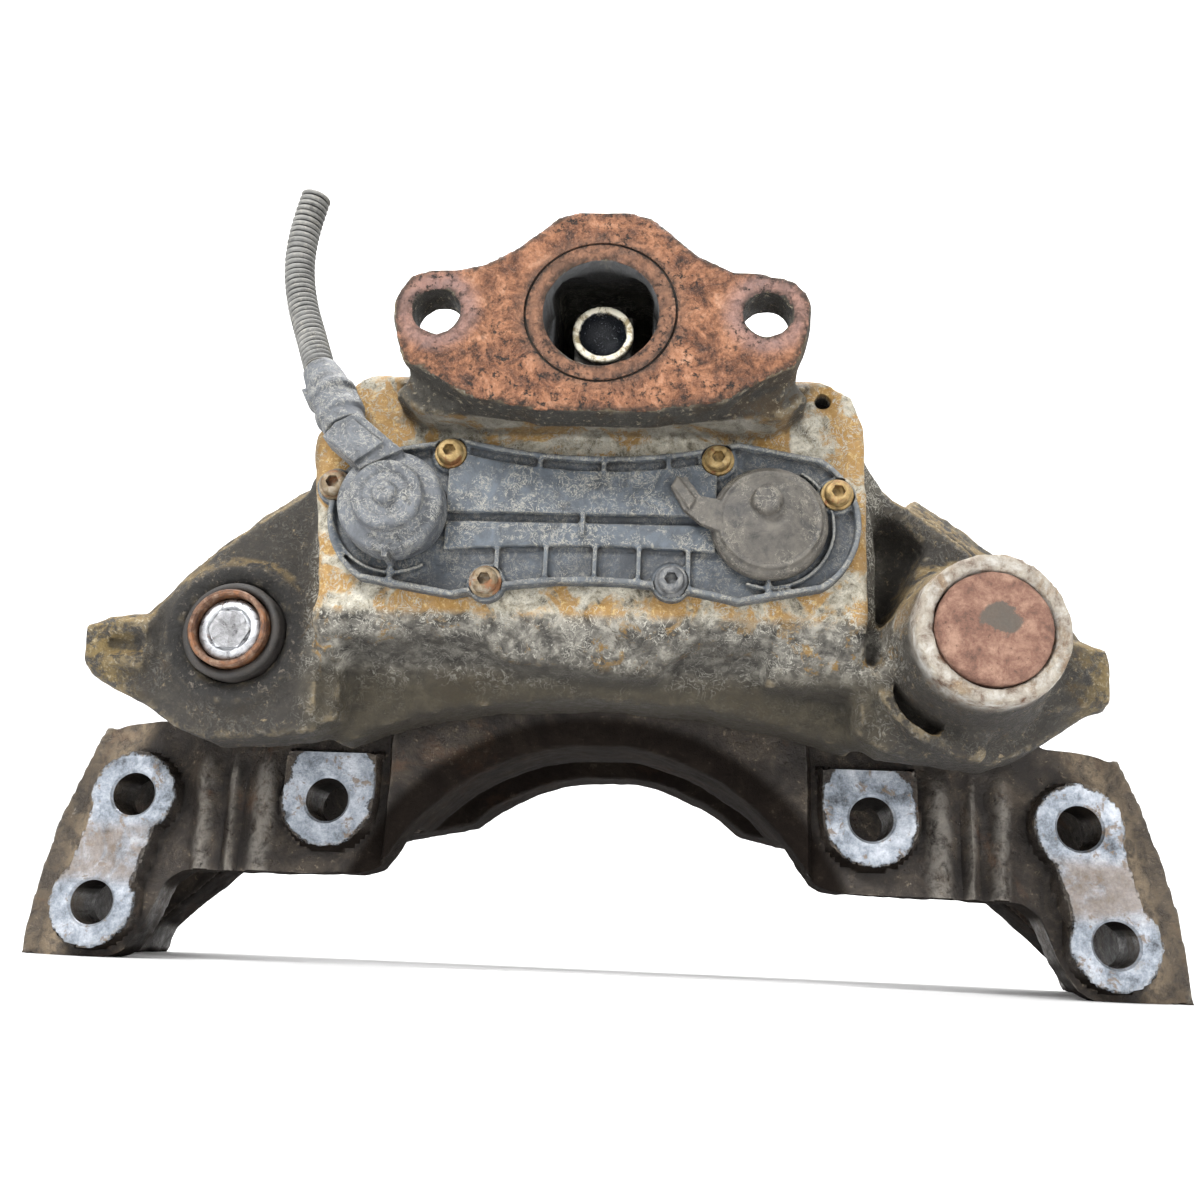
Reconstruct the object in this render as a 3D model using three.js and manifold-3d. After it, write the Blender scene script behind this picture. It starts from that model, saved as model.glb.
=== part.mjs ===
// Sliding air disc brake caliper on its carrier.
// Millimetres, +X along the disc's tangent, +Y towards the wheel, +Z radially outwards.
// All Y values below count from the carrier's mounting face; the last lines move the origin to the
// middle of the footprint, with Z = 0 at the feet of the carrier.
import * as THREE from "three";
import { mergeVertices } from "three/addons/utils/BufferGeometryUtils.js";
import Module from "manifold-3d";

const wasm = await Module();
wasm.setup();

// ---------- driving dimensions ----------
const MIDDLE_Y = 38.5; // middle of the footprint, from the mounting face
const GAP = 0.3; // gap between touching pieces

// wheel axis and disc
const AXIS_Z = -6.5;
const ARCH_R = 98; // hub clearance of the carrier
const DISC_GAP_R = 219; // carrier rails stay outside the disc
const RAIL_R = 234;
const RAIL_END_DEG = 25.5;
const EAR_R = 230;

// carrier
const EAR_FRONT_Y = 1.5;
const EAR_BACK_Y = 24;
const INNER_FRAME_Y = 51;
const OUTER_FRAME_Y = [101, 130];
const HORN_X = [106, 128];
const HORN_R = 224;
const SEAT_Z = 118.5;
const HOLE_CIRCLE_R = 203;
const HOLE_DEG = [20.5, 7.8];
const INNER_HOLE = { x: 109.6, z: 65.2 };
const MOUNT_HOLE_R = 8.75;

// guide pins
const PIN_X = 138;
const PIN_Z = 122;
const BOLT_R = 8;
const BOLT_HEAD_R = 12;
const BOLT_HEAD_H = 14;
const HEX_FLATS = 14;
const SHORT_SLEEVE = { r: 15, front: -57 };
const LONG_SLEEVE = { r: 17, front: -76 };
const SHORT_BOSS = { r: 27, front: -48, bore: 19.3 };
const LONG_BOSS = { r: 27, front: -86, bore: 20.3 };
const BOSS_BACK_Y = -6;

// caliper body
const FLANGE_Y = [-95, -79];
const FLANGE_Z = 234.5;
const STUD_X = 60.3;
const STUD_HOLE_R = 8.5;
const FLANGE_BORE_R = 21;
const FLANGE_GROOVE_R = 27.8;
const BOX_X = [-112, 100];
const BOX_FRONT_Y = -62;
const BOX_BACK_Y = 12;
const HUMP_BACK_Y = 3;
const EAR_PLATE_R = 221.5;
const ARM_R = [228, 246];
const ARM_DEG = [32, 58];
const ARM_END_Y = 172;
const WALL_FRONT_Y = 151;

// clamping mechanism
const SPINDLE_X = 68;
const SPINDLE_Z = 164;
const TUBE_R = 15;
const TAPPET_R = 25;
const LEVER_PIVOT = { y: -23.2, z: 164 };
const LEVER_SHAFT_R = 16;
const LEVER_SHAFT_HALF = 32;
const ROLLER_R = 8.5;
const CUP_Y = -78;
const CHAIN_Y = [-58.5, -53.5];

// pads
const INNER_PAD_Y = 23;
const OUTER_PAD_Y = 129;
const BACKPLATE_T = 8.7;
const LINING_T = 21;
const GROOVE_FLOOR = 6; // lining left under the groove
const PAD_HALF = 104.5;
const PAD_R = 211;

// ---------- helpers ----------
const radians = (degrees) => (degrees * Math.PI) / 180;

// shared corners merged, and the needles at a lathe's axis left out
function closed(geometry) {
  geometry.deleteAttribute("normal");
  geometry.deleteAttribute("uv");
  const merged = mergeVertices(geometry, 1e-4);
  const index = Array.from(merged.index.array);
  const kept = [];
  for (let i = 0; i < index.length; i += 3) {
    const [a, b, c] = index.slice(i, i + 3);
    if (a !== b && b !== c && c !== a) kept.push(a, b, c);
  }
  merged.setIndex(kept);
  return merged;
}

function solid(geometry) {
  const merged = closed(geometry);
  return new wasm.Manifold(
    new wasm.Mesh({
      numProp: 3,
      vertProperties: new Float32Array(merged.attributes.position.array),
      triVerts: new Uint32Array(merged.index.array),
    }),
  );
}

function geometryOf(manifold) {
  const mesh = manifold.getMesh();
  const geometry = new THREE.BufferGeometry();
  geometry.setAttribute("position", new THREE.BufferAttribute(mesh.vertProperties, 3));
  geometry.setIndex(new THREE.BufferAttribute(mesh.triVerts, 1));
  return geometry;
}

const join = (...pieces) => pieces.reduce((all, piece) => all.add(piece));
const cut = (body, ...tools) => tools.reduce((left, tool) => left.subtract(tool), body);

// outline in X and Z, from y0 to y1
function plate(points, y0, y1) {
  const shape = new THREE.Shape(points.map(([x, z]) => new THREE.Vector2(x, z)));
  const geometry = new THREE.ExtrudeGeometry(shape, { depth: y1 - y0, bevelEnabled: false });
  geometry.rotateX(Math.PI / 2);
  geometry.translate(0, y1, 0);
  return solid(geometry);
}

// profile in Y and Z, from x0 to x1
function bar(points, x0, x1) {
  const shape = new THREE.Shape(points.map(([y, z]) => new THREE.Vector2(y, z)));
  const geometry = new THREE.ExtrudeGeometry(shape, { depth: x1 - x0, bevelEnabled: false });
  const turn = new THREE.Matrix4().makeBasis(
    new THREE.Vector3(0, 1, 0),
    new THREE.Vector3(0, 0, 1),
    new THREE.Vector3(1, 0, 0),
  );
  geometry.applyMatrix4(turn);
  geometry.translate(x0, 0, 0);
  return solid(geometry);
}

function block(x0, x1, y0, y1, z0, z1) {
  const geometry = new THREE.BoxGeometry(x1 - x0, y1 - y0, z1 - z0);
  geometry.translate((x0 + x1) / 2, (y0 + y1) / 2, (z0 + z1) / 2);
  return solid(geometry);
}

// cylinder or cone along Y
function rod(x, z, r, y0, y1, sides = 24, endR = r) {
  const geometry = new THREE.CylinderGeometry(endR, r, y1 - y0, sides);
  geometry.translate(x, (y0 + y1) / 2, z);
  return solid(geometry);
}

// cylinder along X
function shaft(y, z, r, x0, x1, sides = 20) {
  const geometry = new THREE.CylinderGeometry(r, r, x1 - x0, sides);
  geometry.rotateZ(-Math.PI / 2);
  geometry.translate((x0 + x1) / 2, y, z);
  return solid(geometry);
}

// revolved about Y through (x, z); profile is [radius, y]
function turned(profile, x, z, sides = 24) {
  const geometry = new THREE.LatheGeometry(profile.map(([r, y]) => new THREE.Vector2(r, y)), sides);
  geometry.translate(x, 0, z);
  return solid(geometry);
}

function ring(x, z, inner, outer, y0, y1, sides = 24) {
  return turned(
    [
      [inner, y0],
      [outer, y0],
      [outer, y1],
      [inner, y1],
      [inner, y0],
    ],
    x,
    z,
    sides,
  );
}

// points on a circle about the wheel axis, from one angle to another
function arc(r, from, to, steps) {
  const points = [];
  for (let i = 0; i <= steps; i += 1) {
    const angle = radians(from + ((to - from) * i) / steps);
    points.push([r * Math.cos(angle), AXIS_Z + r * Math.sin(angle)]);
  }
  return points;
}

const mirrored = (points) => points.map(([x, z]) => [-x, z]).reverse();
const sector = (r0, r1, a0, a1, y0, y1, steps) =>
  plate([...arc(r1, a0, a1, steps), ...arc(r0, a1, a0, steps)], y0, y1);

// an outline given for X >= 0 only, closed by its mirror image
function bothSides(points) {
  return [...points, ...mirrored(points)];
}

const group = new THREE.Group();
const finish = (color, roughness, metalness) => ({ color, roughness, metalness });
const CAST_DARK = finish(0x3b342e, 0.62, 0.55);
const CAST_GREY = finish(0x76736a, 0.7, 0.45);
const MACHINED = finish(0xb9bcc0, 0.32, 0.95);
const RUSTY = finish(0x8a5a3c, 0.8, 0.5);
const PLASTIC = finish(0x565e66, 0.6, 0);
const RUBBER = finish(0x25211f, 0.75, 0);
const ZINC = finish(0xb39a62, 0.5, 0.8);
const BRASS = finish(0xa98a4c, 0.4, 0.9);
const STEEL = finish(0x8f9296, 0.4, 0.9);
const LINING = finish(0x4a453f, 0.9, 0.1);

function add(name, body, looks) {
  const mesh = new THREE.Mesh(geometryOf(body), new THREE.MeshStandardMaterial(looks));
  mesh.name = name;
  group.add(mesh);
}

// ---------- carrier ----------
// strip that joins the machined faces round the two outer holes
function padBridge([upper, lower]) {
  const half = 14;
  return [
    [upper[0] - half, upper[1]],
    [lower[0] - half, lower[1]],
    [lower[0] + half, lower[1]],
    [upper[0] + half, upper[1]],
  ];
}

function carrier() {
  const hornTop = HORN_X.map((x) => [x, AXIS_Z + Math.sqrt(HORN_R ** 2 - x ** 2)]);
  const front = bothSides([
    ...arc(ARCH_R, 90, 31.5, 9).slice(1),
    [88, 39],
    [96, 36.5],
    [168, 35.5],
    [175, 30],
    [181, 14],
    [188, 3],
    [194, 0],
    [225, 0],
    ...arc(EAR_R, 3, RAIL_END_DEG, 4),
    [203, 94.6],
    [178, 96.6],
    [166, 122],
    [158, 142],
    [HORN_X[1], 152],
    hornTop[1],
    hornTop[0],
    [HORN_X[0], SEAT_Z],
  ]);
  const beam = bothSides([
    ...arc(ARCH_R, 90, 40, 7).slice(1),
    [100, 64],
    [150, 98],
    [HORN_X[1], 146],
    hornTop[1],
    hornTop[0],
    [HORN_X[0], SEAT_Z],
  ]);
  const rear = bothSides([
    ...arc(ARCH_R, 90, 48, 6).slice(1),
    [90, 61],
    [114, 56],
    [183, 41],
    [214, 14],
    [220, 0],
    [RAIL_R - 1, 0],
    ...arc(RAIL_R, 3, RAIL_END_DEG, 4),
    [174, 118],
    [HORN_X[1], 148],
    hornTop[1],
    hornTop[0],
    [HORN_X[0], SEAT_Z],
  ]);
  let body = join(
    plate(front, EAR_FRONT_Y, EAR_BACK_Y),
    plate(beam, EAR_BACK_Y - 2, INNER_FRAME_Y),
    plate(rear, ...OUTER_FRAME_Y),
  );
  for (const side of [1, -1]) {
    const rail = [...arc(RAIL_R, 0, RAIL_END_DEG, 5), ...arc(DISC_GAP_R, RAIL_END_DEG, 0, 5)];
    const points = side > 0 ? rail : mirrored(rail);
    const pads = HOLE_DEG.map((angle) => [
      side * HOLE_CIRCLE_R * Math.cos(radians(angle)),
      AXIS_Z + HOLE_CIRCLE_R * Math.sin(radians(angle)),
    ]);
    body = join(
      body,
      plate(points, 12, OUTER_FRAME_Y[1] + 3),
      rod(side * PIN_X, PIN_Z, 25, 0, 48),
      rod(pads[0][0], pads[0][1], 18, 0, 8, 20),
      rod(pads[1][0], pads[1][1], 18, 0, 8, 20),
      plate(side > 0 ? padBridge(pads) : padBridge(pads).reverse(), 0, 8),
      rod(side * INNER_HOLE.x, INNER_HOLE.z, 19, 0, 30),
    );
    body = cut(
      body,
      ...pads.map(([x, z]) => rod(x, z, MOUNT_HOLE_R, -1, 40, 20)),
      rod(side * INNER_HOLE.x, INNER_HOLE.z, MOUNT_HOLE_R, -1, 60, 20),
      rod(side * PIN_X, PIN_Z, BOLT_R + GAP, -1, 60, 20),
    );
  }
  return cut(body, block(-260, 260, -10, 150, -40, 0));
}
add("carrier", carrier(), CAST_DARK);

// ---------- guide pins ----------
const hexagon = (x, z, flats, y0, y1) => rod(x, z, flats / Math.sqrt(3), y0, y1, 6);

function guideBolt(x, headY) {
  const head = rod(x, PIN_Z, BOLT_HEAD_R, headY, headY + BOLT_HEAD_H);
  const socket = hexagon(x, PIN_Z, HEX_FLATS, headY - 1, headY + 8);
  return join(cut(head, socket), rod(x, PIN_Z, BOLT_R - 0.2, headY + BOLT_HEAD_H - 1, 44, 16));
}

function guideSleeve(x, { r, front }) {
  const outside = rod(x, PIN_Z, r, front, -GAP, 32);
  return cut(
    outside,
    rod(x, PIN_Z, BOLT_HEAD_R + 0.6, front - 1, front + 17),
    rod(x, PIN_Z, BOLT_R + 0.4, front + 10, 5, 16),
  );
}
add("guide_sleeve_short", guideSleeve(-PIN_X, SHORT_SLEEVE), RUSTY);
add("guide_sleeve_long", guideSleeve(PIN_X, LONG_SLEEVE), STEEL);
add("guide_bolt_short", guideBolt(-PIN_X, SHORT_SLEEVE.front + 17 - BOLT_HEAD_H - GAP), MACHINED);
add("guide_bolt_long", guideBolt(PIN_X, LONG_SLEEVE.front + 17 - BOLT_HEAD_H - GAP), MACHINED);

const shortBush = turned(
  [
    [SHORT_SLEEVE.r + GAP, -52],
    [17.6, -52],
    [SHORT_BOSS.bore - GAP, -50.5],
    [SHORT_BOSS.bore - GAP, -17],
    [SHORT_SLEEVE.r + GAP, -17],
    [SHORT_SLEEVE.r + GAP, -52],
  ],
  -PIN_X,
  PIN_Z,
  32,
);
add("guide_bush_rubber", shortBush, RUBBER);
const plainBush = (y0, y1) => ring(PIN_X, PIN_Z, LONG_SLEEVE.r + GAP, LONG_BOSS.bore - GAP, y0, y1, 28);
add("guide_bush_front", plainBush(-64, -46), BRASS);
add("guide_bush_rear", plainBush(-34, -18), BRASS);

const guideCap = turned(
  [
    [0, LONG_BOSS.front - 0.8],
    [LONG_BOSS.bore - 1.7, LONG_BOSS.front - 0.8],
    [LONG_BOSS.bore - GAP, LONG_BOSS.front + 0.8],
    [LONG_BOSS.bore - GAP, LONG_BOSS.front + 7],
    [LONG_BOSS.bore - 2.5, LONG_BOSS.front + 7],
    [LONG_BOSS.bore - 2.5, LONG_BOSS.front + 2],
    [0, LONG_BOSS.front + 2],
  ],
  PIN_X,
  PIN_Z,
  32,
);
add("guide_cap", guideCap, RUSTY);

// folded rubber sleeve in the counterbore of a guide boss
function guideBellows(x, inner, outer) {
  const folds = 3;
  const [y0, y1] = [-14, -0.4];
  const step = (y1 - y0) / folds;
  const outside = [];
  const inside = [];
  for (let i = 0; i <= folds; i += 1) {
    outside.push([outer - 2.2, y0 + i * step]);
    inside.unshift([inner, y0 + i * step]);
    if (i < folds) {
      outside.push([outer, y0 + (i + 0.5) * step]);
      inside.unshift([inner + 2.2, y0 + (i + 0.5) * step]);
    }
  }
  return turned([...outside, ...inside, outside[0]], x, PIN_Z, 18);
}
add("guide_bellows_short", guideBellows(-PIN_X, SHORT_SLEEVE.r + GAP, 21.2), RUBBER);
add("guide_bellows_long", guideBellows(PIN_X, LONG_SLEEVE.r + GAP, 23.2), RUBBER);

// ---------- caliper housing ----------
const COVER_SCREWS = [
  [-56, 188.8],
  [-99, 175.3],
  [44.3, 188],
  [88, 175.3],
  [-39.6, 138.9],
  [28, 140.7],
];
const RETAINER = { half: 13, y: [-1, 158], z: [219, 224] };
const RETAINER_PIN = { y: 152.5, z: 227.2, r: 3 };

function earPlate(side) {
  const lugEnd = side > 0 ? 188.5 : 196.5;
  const right = [
    [96, 196],
    ...arc(EAR_PLATE_R, 61, 38, 5),
    [lugEnd - 7, 128.5],
    [lugEnd - 1, 122],
    [lugEnd, 111],
    [lugEnd - 3, 104],
    [172, 94.5],
    [160, 87],
    [146, 81.5],
    [131, 82],
    [107, 85],
    [96, 92],
  ];
  return plate(side > 0 ? right : mirrored(right), -45, -20);
}

function housing() {
  const boxOutline = [
    [BOX_X[0] + 7, 150],
    [BOX_X[0], 197],
    [-97, 222],
    [-88, 226],
    [80, 226],
    [95, 219],
    [BOX_X[1], 205],
    [BOX_X[1], 88],
    [74, 95],
    [40, 101],
    [0, 103.5],
    [-40, 101],
    [-74, 95],
    [BOX_X[0] + 10, 84],
  ].reverse();
  const boxSide = [
    [BOX_FRONT_Y, 130],
    [-55, 121],
    [-38, 114],
    [-18, 80],
    [-2, 80],
    [-2, 121],
    [BOX_BACK_Y, 121],
    [BOX_BACK_Y, 208],
    [-10, 226],
    [-56, 226],
    [BOX_FRONT_Y, 224],
  ];
  const box = plate(boxOutline, BOX_FRONT_Y, BOX_BACK_Y).intersect(bar(boxSide, -112, 102));
  const flangeOutline = [
    [-62, 252.4],
    [-71, 249],
    [-76, 241],
    [-76, 229],
    [-71, 214],
    [-45, 199.5],
    [-20, 195],
    [20, 195],
    [45, 199.5],
    [71, 214],
    [76, 229],
    [76, 241],
    [71, 248],
    [62, 250.8],
    [47, 252],
    [33, 260],
    [19, 273],
    [10, 276.5],
    [-11, 276.5],
    [-19, 273],
    [-33, 260],
    [-47, 252.8],
  ];
  const humpSide = [
    [-92, 200],
    [HUMP_BACK_Y, 200],
    [HUMP_BACK_Y, 262],
    [-9, 272],
    [-92, 274],
  ];
  const humpOutline = [
    [-42, 200],
    [42, 200],
    [38, 250],
    [30, 264],
    [18, 274],
    [-18, 274],
    [-30, 264],
    [-38, 250],
  ];
  const neck = [
    [-78, 208],
    [-66, 200],
    [66, 200],
    [78, 208],
    [60, 224],
    [-60, 224],
  ];
  let body = join(
    box,
    plate(flangeOutline, ...FLANGE_Y),
    plate(humpOutline, -92, HUMP_BACK_Y).intersect(bar(humpSide, -50, 50)),
    plate(neck, FLANGE_Y[1] - 2, BOX_FRONT_Y + 10),
    earPlate(1),
    earPlate(-1),
    rod(-PIN_X, PIN_Z, SHORT_BOSS.r, SHORT_BOSS.front, BOSS_BACK_Y, 32),
    rod(PIN_X, PIN_Z, LONG_BOSS.r, LONG_BOSS.front, BOSS_BACK_Y, 32),
    rod(84, 216, 8, BOX_FRONT_Y, -50, 16),
  );
  // each arm steps out in radius behind its ear plate
  const armSteps = [
    [200, 230.5, -26, BOSS_BACK_Y],
    [200, 235.5, -14, BOSS_BACK_Y],
    [226, 239.5, -9, 14],
    [...ARM_R, 2, ARM_END_Y],
  ];
  for (const [r0, r1, y0, y1] of armSteps) {
    body = join(
      body,
      sector(r0, r1, ...ARM_DEG, y0, y1, 5),
      sector(r0, r1, 180 - ARM_DEG[1], 180 - ARM_DEG[0], y0, y1, 5),
    );
  }
  // wall on the wheel side of the disc, with the face that carries the outer pad
  const wall = bothSides([
    [0, 122],
    [150, 126],
    [185, 112],
    ...arc(ARM_R[1], ARM_DEG[0], ARM_DEG[1], 4),
    [60, 216],
    [0, 218.5],
  ].slice(1));
  const padFace = [
    [-98, 124],
    [98, 124],
    ...arc(207, 61.5, 118.5, 6),
  ];
  const lug = [
    [148, 210],
    [157, 210],
    [157, 232],
    [148, 232],
  ];
  body = join(
    body,
    plate(wall, WALL_FRONT_Y, ARM_END_Y),
    plate(padFace, OUTER_PAD_Y + 2 * GAP, WALL_FRONT_Y + 2),
    bar(lug, 15, 23),
    bar(lug, -23, -15),
  );
  // room for the lever, the bridge and the chain
  const leverRoom = bar(
    [
      [-96, FLANGE_Z - 18],
      [-66, 206],
      [-50, 184],
      [-42, 172],
      [-42, 146],
      [-4.5, 142],
      [-1.5, 200],
      [-1.5, 256],
      [-12, 266],
      [-50, 266],
      [-90, FLANGE_Z + 18],
    ],
    -19,
    19,
  );
  const bridgeRoom = join(
    block(-92, 92, -42, BOX_BACK_Y + 2, 146, 182),
    rod(-SPINDLE_X, SPINDLE_Z, 24, -42, BOX_BACK_Y + 2),
    rod(SPINDLE_X, SPINDLE_Z, 24, -42, BOX_BACK_Y + 2),
  );
  const chainRoom = join(
    block(-SPINDLE_X, SPINDLE_X, BOX_FRONT_Y - 1, -50, SPINDLE_Z - 20, SPINDLE_Z + 20),
    rod(-SPINDLE_X, SPINDLE_Z, 20, BOX_FRONT_Y - 1, -50),
    rod(SPINDLE_X, SPINDLE_Z, 20, BOX_FRONT_Y - 1, -50),
  );
  const retainerSlot = block(-14, 14, -2, 6, RETAINER.z[0] - 0.6, RETAINER.z[1] + 0.6);
  body = cut(
    body,
    leverRoom,
    bridgeRoom,
    chainRoom,
    retainerSlot,
    block(-112, -104, -2.5, 14, 70, 230),
    plate(basePlateOutline(0), BOX_BACK_Y - 3.4, BOX_BACK_Y + 2),
    rod(-SPINDLE_X, SPINDLE_Z, TUBE_R + 0.5, -52, -40),
    rod(SPINDLE_X, SPINDLE_Z, TUBE_R + 0.5, -52, -40),
    rod(0, FLANGE_Z, FLANGE_BORE_R, -96, -76, 36),
    ring(0, FLANGE_Z, FLANGE_GROOVE_R - 1, FLANGE_GROOVE_R, -96, -93.5, 36),
    rod(-STUD_X, FLANGE_Z, STUD_HOLE_R, -96, -50, 24),
    rod(STUD_X, FLANGE_Z, STUD_HOLE_R, -96, -50, 24),
    rod(84, 216, 3, BOX_FRONT_Y - 1, -49, 12),
    rod(-PIN_X, PIN_Z, SHORT_BOSS.bore, SHORT_BOSS.front - 1, BOSS_BACK_Y + 1, 32),
    rod(-PIN_X, PIN_Z, 22, -15, BOSS_BACK_Y + 1),
    rod(PIN_X, PIN_Z, LONG_BOSS.bore, LONG_BOSS.front - 1, BOSS_BACK_Y + 1, 32),
    rod(PIN_X, PIN_Z, 24, -15, BOSS_BACK_Y + 1),
    ...COVER_SCREWS.map(([x, z]) => rod(x, z, 2.8, BOX_FRONT_Y - 1, -54, 10)),
    shaft(RETAINER_PIN.y, RETAINER_PIN.z, RETAINER_PIN.r + GAP, -30, 30, 12),
    // lens-shaped relief under the box, between the lower flats
    bar(
      [
        [-64, 118],
        [-47, 112],
        [-64, 104],
      ],
      -60,
      60,
    ),
  );
  return body;
}

function basePlateOutline(inset) {
  const x = 95 - inset;
  return [
    [-x, 150],
    [-x + 12, 138 + inset],
    [x - 12, 138 + inset],
    [x, 150],
    [x, 178],
    [x - 12, 190 - inset],
    [-x + 12, 190 - inset],
    [-x, 178],
  ];
}
add("caliper_housing", housing(), CAST_GREY);

// ---------- adjuster cover ----------
// outline with two round ends and a waist
function coverOutline(inset) {
  const points = [];
  const ends = [
    [71 - 4, 164, -58, 58],
    [-71, 164, 122, 238],
  ];
  for (const [x, z, from, to] of ends) {
    for (let i = 0; i <= 8; i += 1) {
      const angle = radians(from + ((to - from) * i) / 8);
      points.push([x + (29.5 - inset) * Math.cos(angle), z + (30 - inset) * Math.sin(angle)]);
    }
    const waist = x > 0 ? 1 : -1;
    points.push(
      [waist * 52, 164 + waist * (31 - inset)],
      [waist * 28, 164 + waist * (26 - inset)],
      [0, 164 + waist * (24.5 - inset)],
      [-waist * 28, 164 + waist * (26 - inset)],
      [-waist * 52, 164 + waist * (31 - inset)],
    );
  }
  return points;
}
const screwHoles = (r) => COVER_SCREWS.map(([x, z]) => rod(x, z, r, -80, -50, 12));
const COVER_Y = [-67.5, -62.9];
const SENSOR = { x: -75, z: 165.5 };
const CAP = { x: 63, z: 163 };

function adjusterCover() {
  const ears = COVER_SCREWS.map(([x, z]) => rod(x, z, 7.2, COVER_Y[0], COVER_Y[1], 14));
  const rim = cut(
    plate(coverOutline(0), COVER_Y[0] - 2.2, COVER_Y[1] - 1),
    plate(coverOutline(2.2), COVER_Y[0] - 4, COVER_Y[1] + 2),
  );
  const ribs = [-36, -18, 0, 16, 34].map((x) => block(x - 0.8, x + 0.8, -69.5, -66, 142, 153));
  const topRibs = [-22, 2, 26].map((x) => block(x - 0.8, x + 0.8, -69.5, -66, 177, 186));
  const spine = block(-50, 36, -69.5, -66, 162.8, 164.4);
  return cut(
    join(plate(coverOutline(0), ...COVER_Y), rim, spine, ...ribs, ...topRibs, ...ears),
    ...COVER_SCREWS.map(([x, z]) => rod(x, z, 6.5, -75, COVER_Y[0], 14)),
    ...screwHoles(3.4),
  );
}
add("adjuster_cover", adjusterCover(), PLASTIC);
const gasketLoop = cut(plate(coverOutline(8.8), -62.6, -62.2), plate(coverOutline(11.5), -64, -60));
add("cover_gasket", gasketLoop, RUBBER);

COVER_SCREWS.forEach(([x, z], number) => {
  const head = rod(x, z, 6, COVER_Y[0] - 1.4, COVER_Y[0] - GAP, 16);
  const cap = cut(rod(x, z, 4.9, COVER_Y[0] - 5.2, COVER_Y[0] - 1, 16), hexagon(x, z, 4.4, -76, -70.2));
  add(`cover_screw_${number + 1}`, join(head, cap, rod(x, z, 2.5, COVER_Y[0] - 1, -54.5, 10)), ZINC);
});

const CAP_BACK_Y = COVER_Y[0] - 0.3;
const adjusterCap = join(
  turned(
    [
      [0, -80.5],
      [7, -80.5],
      [19, -74.5],
      [21.3, -72.5],
      [21.3, CAP_BACK_Y],
      [0, CAP_BACK_Y],
    ],
    CAP.x,
    CAP.z,
    28,
  ),
  rod(CAP.x - 1.5, CAP.z + 5, 5.4, -84, -77, 16, 6.4),
  plate(
    [
      [CAP.x - 34, 179],
      [CAP.x - 36, 175],
      [CAP.x - 31, 166],
      [CAP.x - 18, 158],
      [CAP.x - 16, 170],
    ],
    -75,
    -71.5,
  ),
);
add("adjuster_cap", adjusterCap, PLASTIC);

// ---------- wear sensor and its conduit ----------
const sensorHousing = join(
  turned(
    [
      [0, -87.5],
      [12, -87.5],
      [13.2, -86.3],
      [13.2, -82],
      [18, -81],
      [19.6, -78.5],
      [19.6, CAP_BACK_Y],
      [0, CAP_BACK_Y],
    ],
    SENSOR.x,
    SENSOR.z,
    28,
  ),
  rod(SENSOR.x, SENSOR.z, 4.4, -89.5, -86, 14),
  plate(
    [
      [-84, 178],
      [-99, 189],
      [-89, 198],
      [-72, 184],
    ],
    -84,
    -70,
  ),
);
add("wear_sensor_housing", sensorHousing, PLASTIC);

const CONDUIT_R = 6.1;
const CONDUIT_PATH = [
  [-109.6, -69, 222.6],
  [-112.2, -67, 229],
  [-117, -63.6, 241],
  [-121.6, -61.2, 253],
  [-124.9, -60, 266],
  [-125.9, -60, 278],
  [-124.9, -60, 291],
  [-122.3, -60, 305],
];

// round bar along a smooth line
function tube(points, r, steps, sides) {
  const line = new THREE.CatmullRomCurve3(points.map((p) => new THREE.Vector3(...p)));
  const round = new THREE.Shape();
  for (let i = 0; i < sides; i += 1) {
    const angle = (i / sides) * Math.PI * 2;
    const [u, v] = [r * Math.cos(angle), r * Math.sin(angle)];
    if (i === 0) round.moveTo(u, v);
    else round.lineTo(u, v);
  }
  return solid(new THREE.ExtrudeGeometry(round, { steps, extrudePath: line, bevelEnabled: false }));
}

// bent strain relief between the sensor and the conduit: a stepped boot that tapers to the conduit
function connectorSleeve() {
  const line = [
    [-94.6, -76, 194.4],
    [-98, -74.5, 201],
    [-103.5, -72, 211.5],
    [-109.3, -69.4, 221.9],
  ];
  const lower = tube(line.slice(0, 3), 8.6, 3, 12);
  const upper = tube(line.slice(1), 7.6, 3, 12);
  return join(lower, upper);
}
const conduit = tube(CONDUIT_PATH, CONDUIT_R, 12, 10);
add("connector_sleeve", cut(connectorSleeve(), sensorHousing, conduit), PLASTIC);
add("sensor_conduit", conduit, PLASTIC);

// ---------- clamping mechanism ----------
// lever: arm with a ball cup, on a half-round shaft that rolls in two shells
const CUP_Z = FLANGE_Z;
const rollerAt = { y: LEVER_PIVOT.y - 1.7, z: LEVER_PIVOT.z + 4.7 };
function lever() {
  const { y, z } = LEVER_PIVOT;
  const halfShaft = cut(
    shaft(y, z, LEVER_SHAFT_R, -LEVER_SHAFT_HALF, LEVER_SHAFT_HALF, 32),
    block(-50, 50, y - 2.5, y + 40, z - 40, z + 40),
  );
  const arm = bar(
    [
      [y - 3, z - 8],
      [y - 3, z + 11],
      [y - 12, z + 26],
      [y - 43, CUP_Z + 8],
      [y - 50, CUP_Z + 10],
      [y - 51, CUP_Z - 10],
      [y - 32, z + 34],
      [y - 15, z + 2],
    ],
    -11,
    11,
  );
  const cup = rod(0, CUP_Z, 11.8, CUP_Y, CUP_Y + 14, 24, 9);
  const socketBall = new THREE.SphereGeometry(9.2, 20, 10);
  socketBall.translate(0, CUP_Y - 1, CUP_Z);
  const rollerSeat = shaft(rollerAt.y, rollerAt.z, ROLLER_R + GAP, -60, 60, 24);
  return cut(join(halfShaft, arm, cup), solid(socketBall), rollerSeat);
}
add("lever", lever(), STEEL);
add("lever_roller", shaft(rollerAt.y, rollerAt.z, ROLLER_R, -30, 30, 24), MACHINED);

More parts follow.
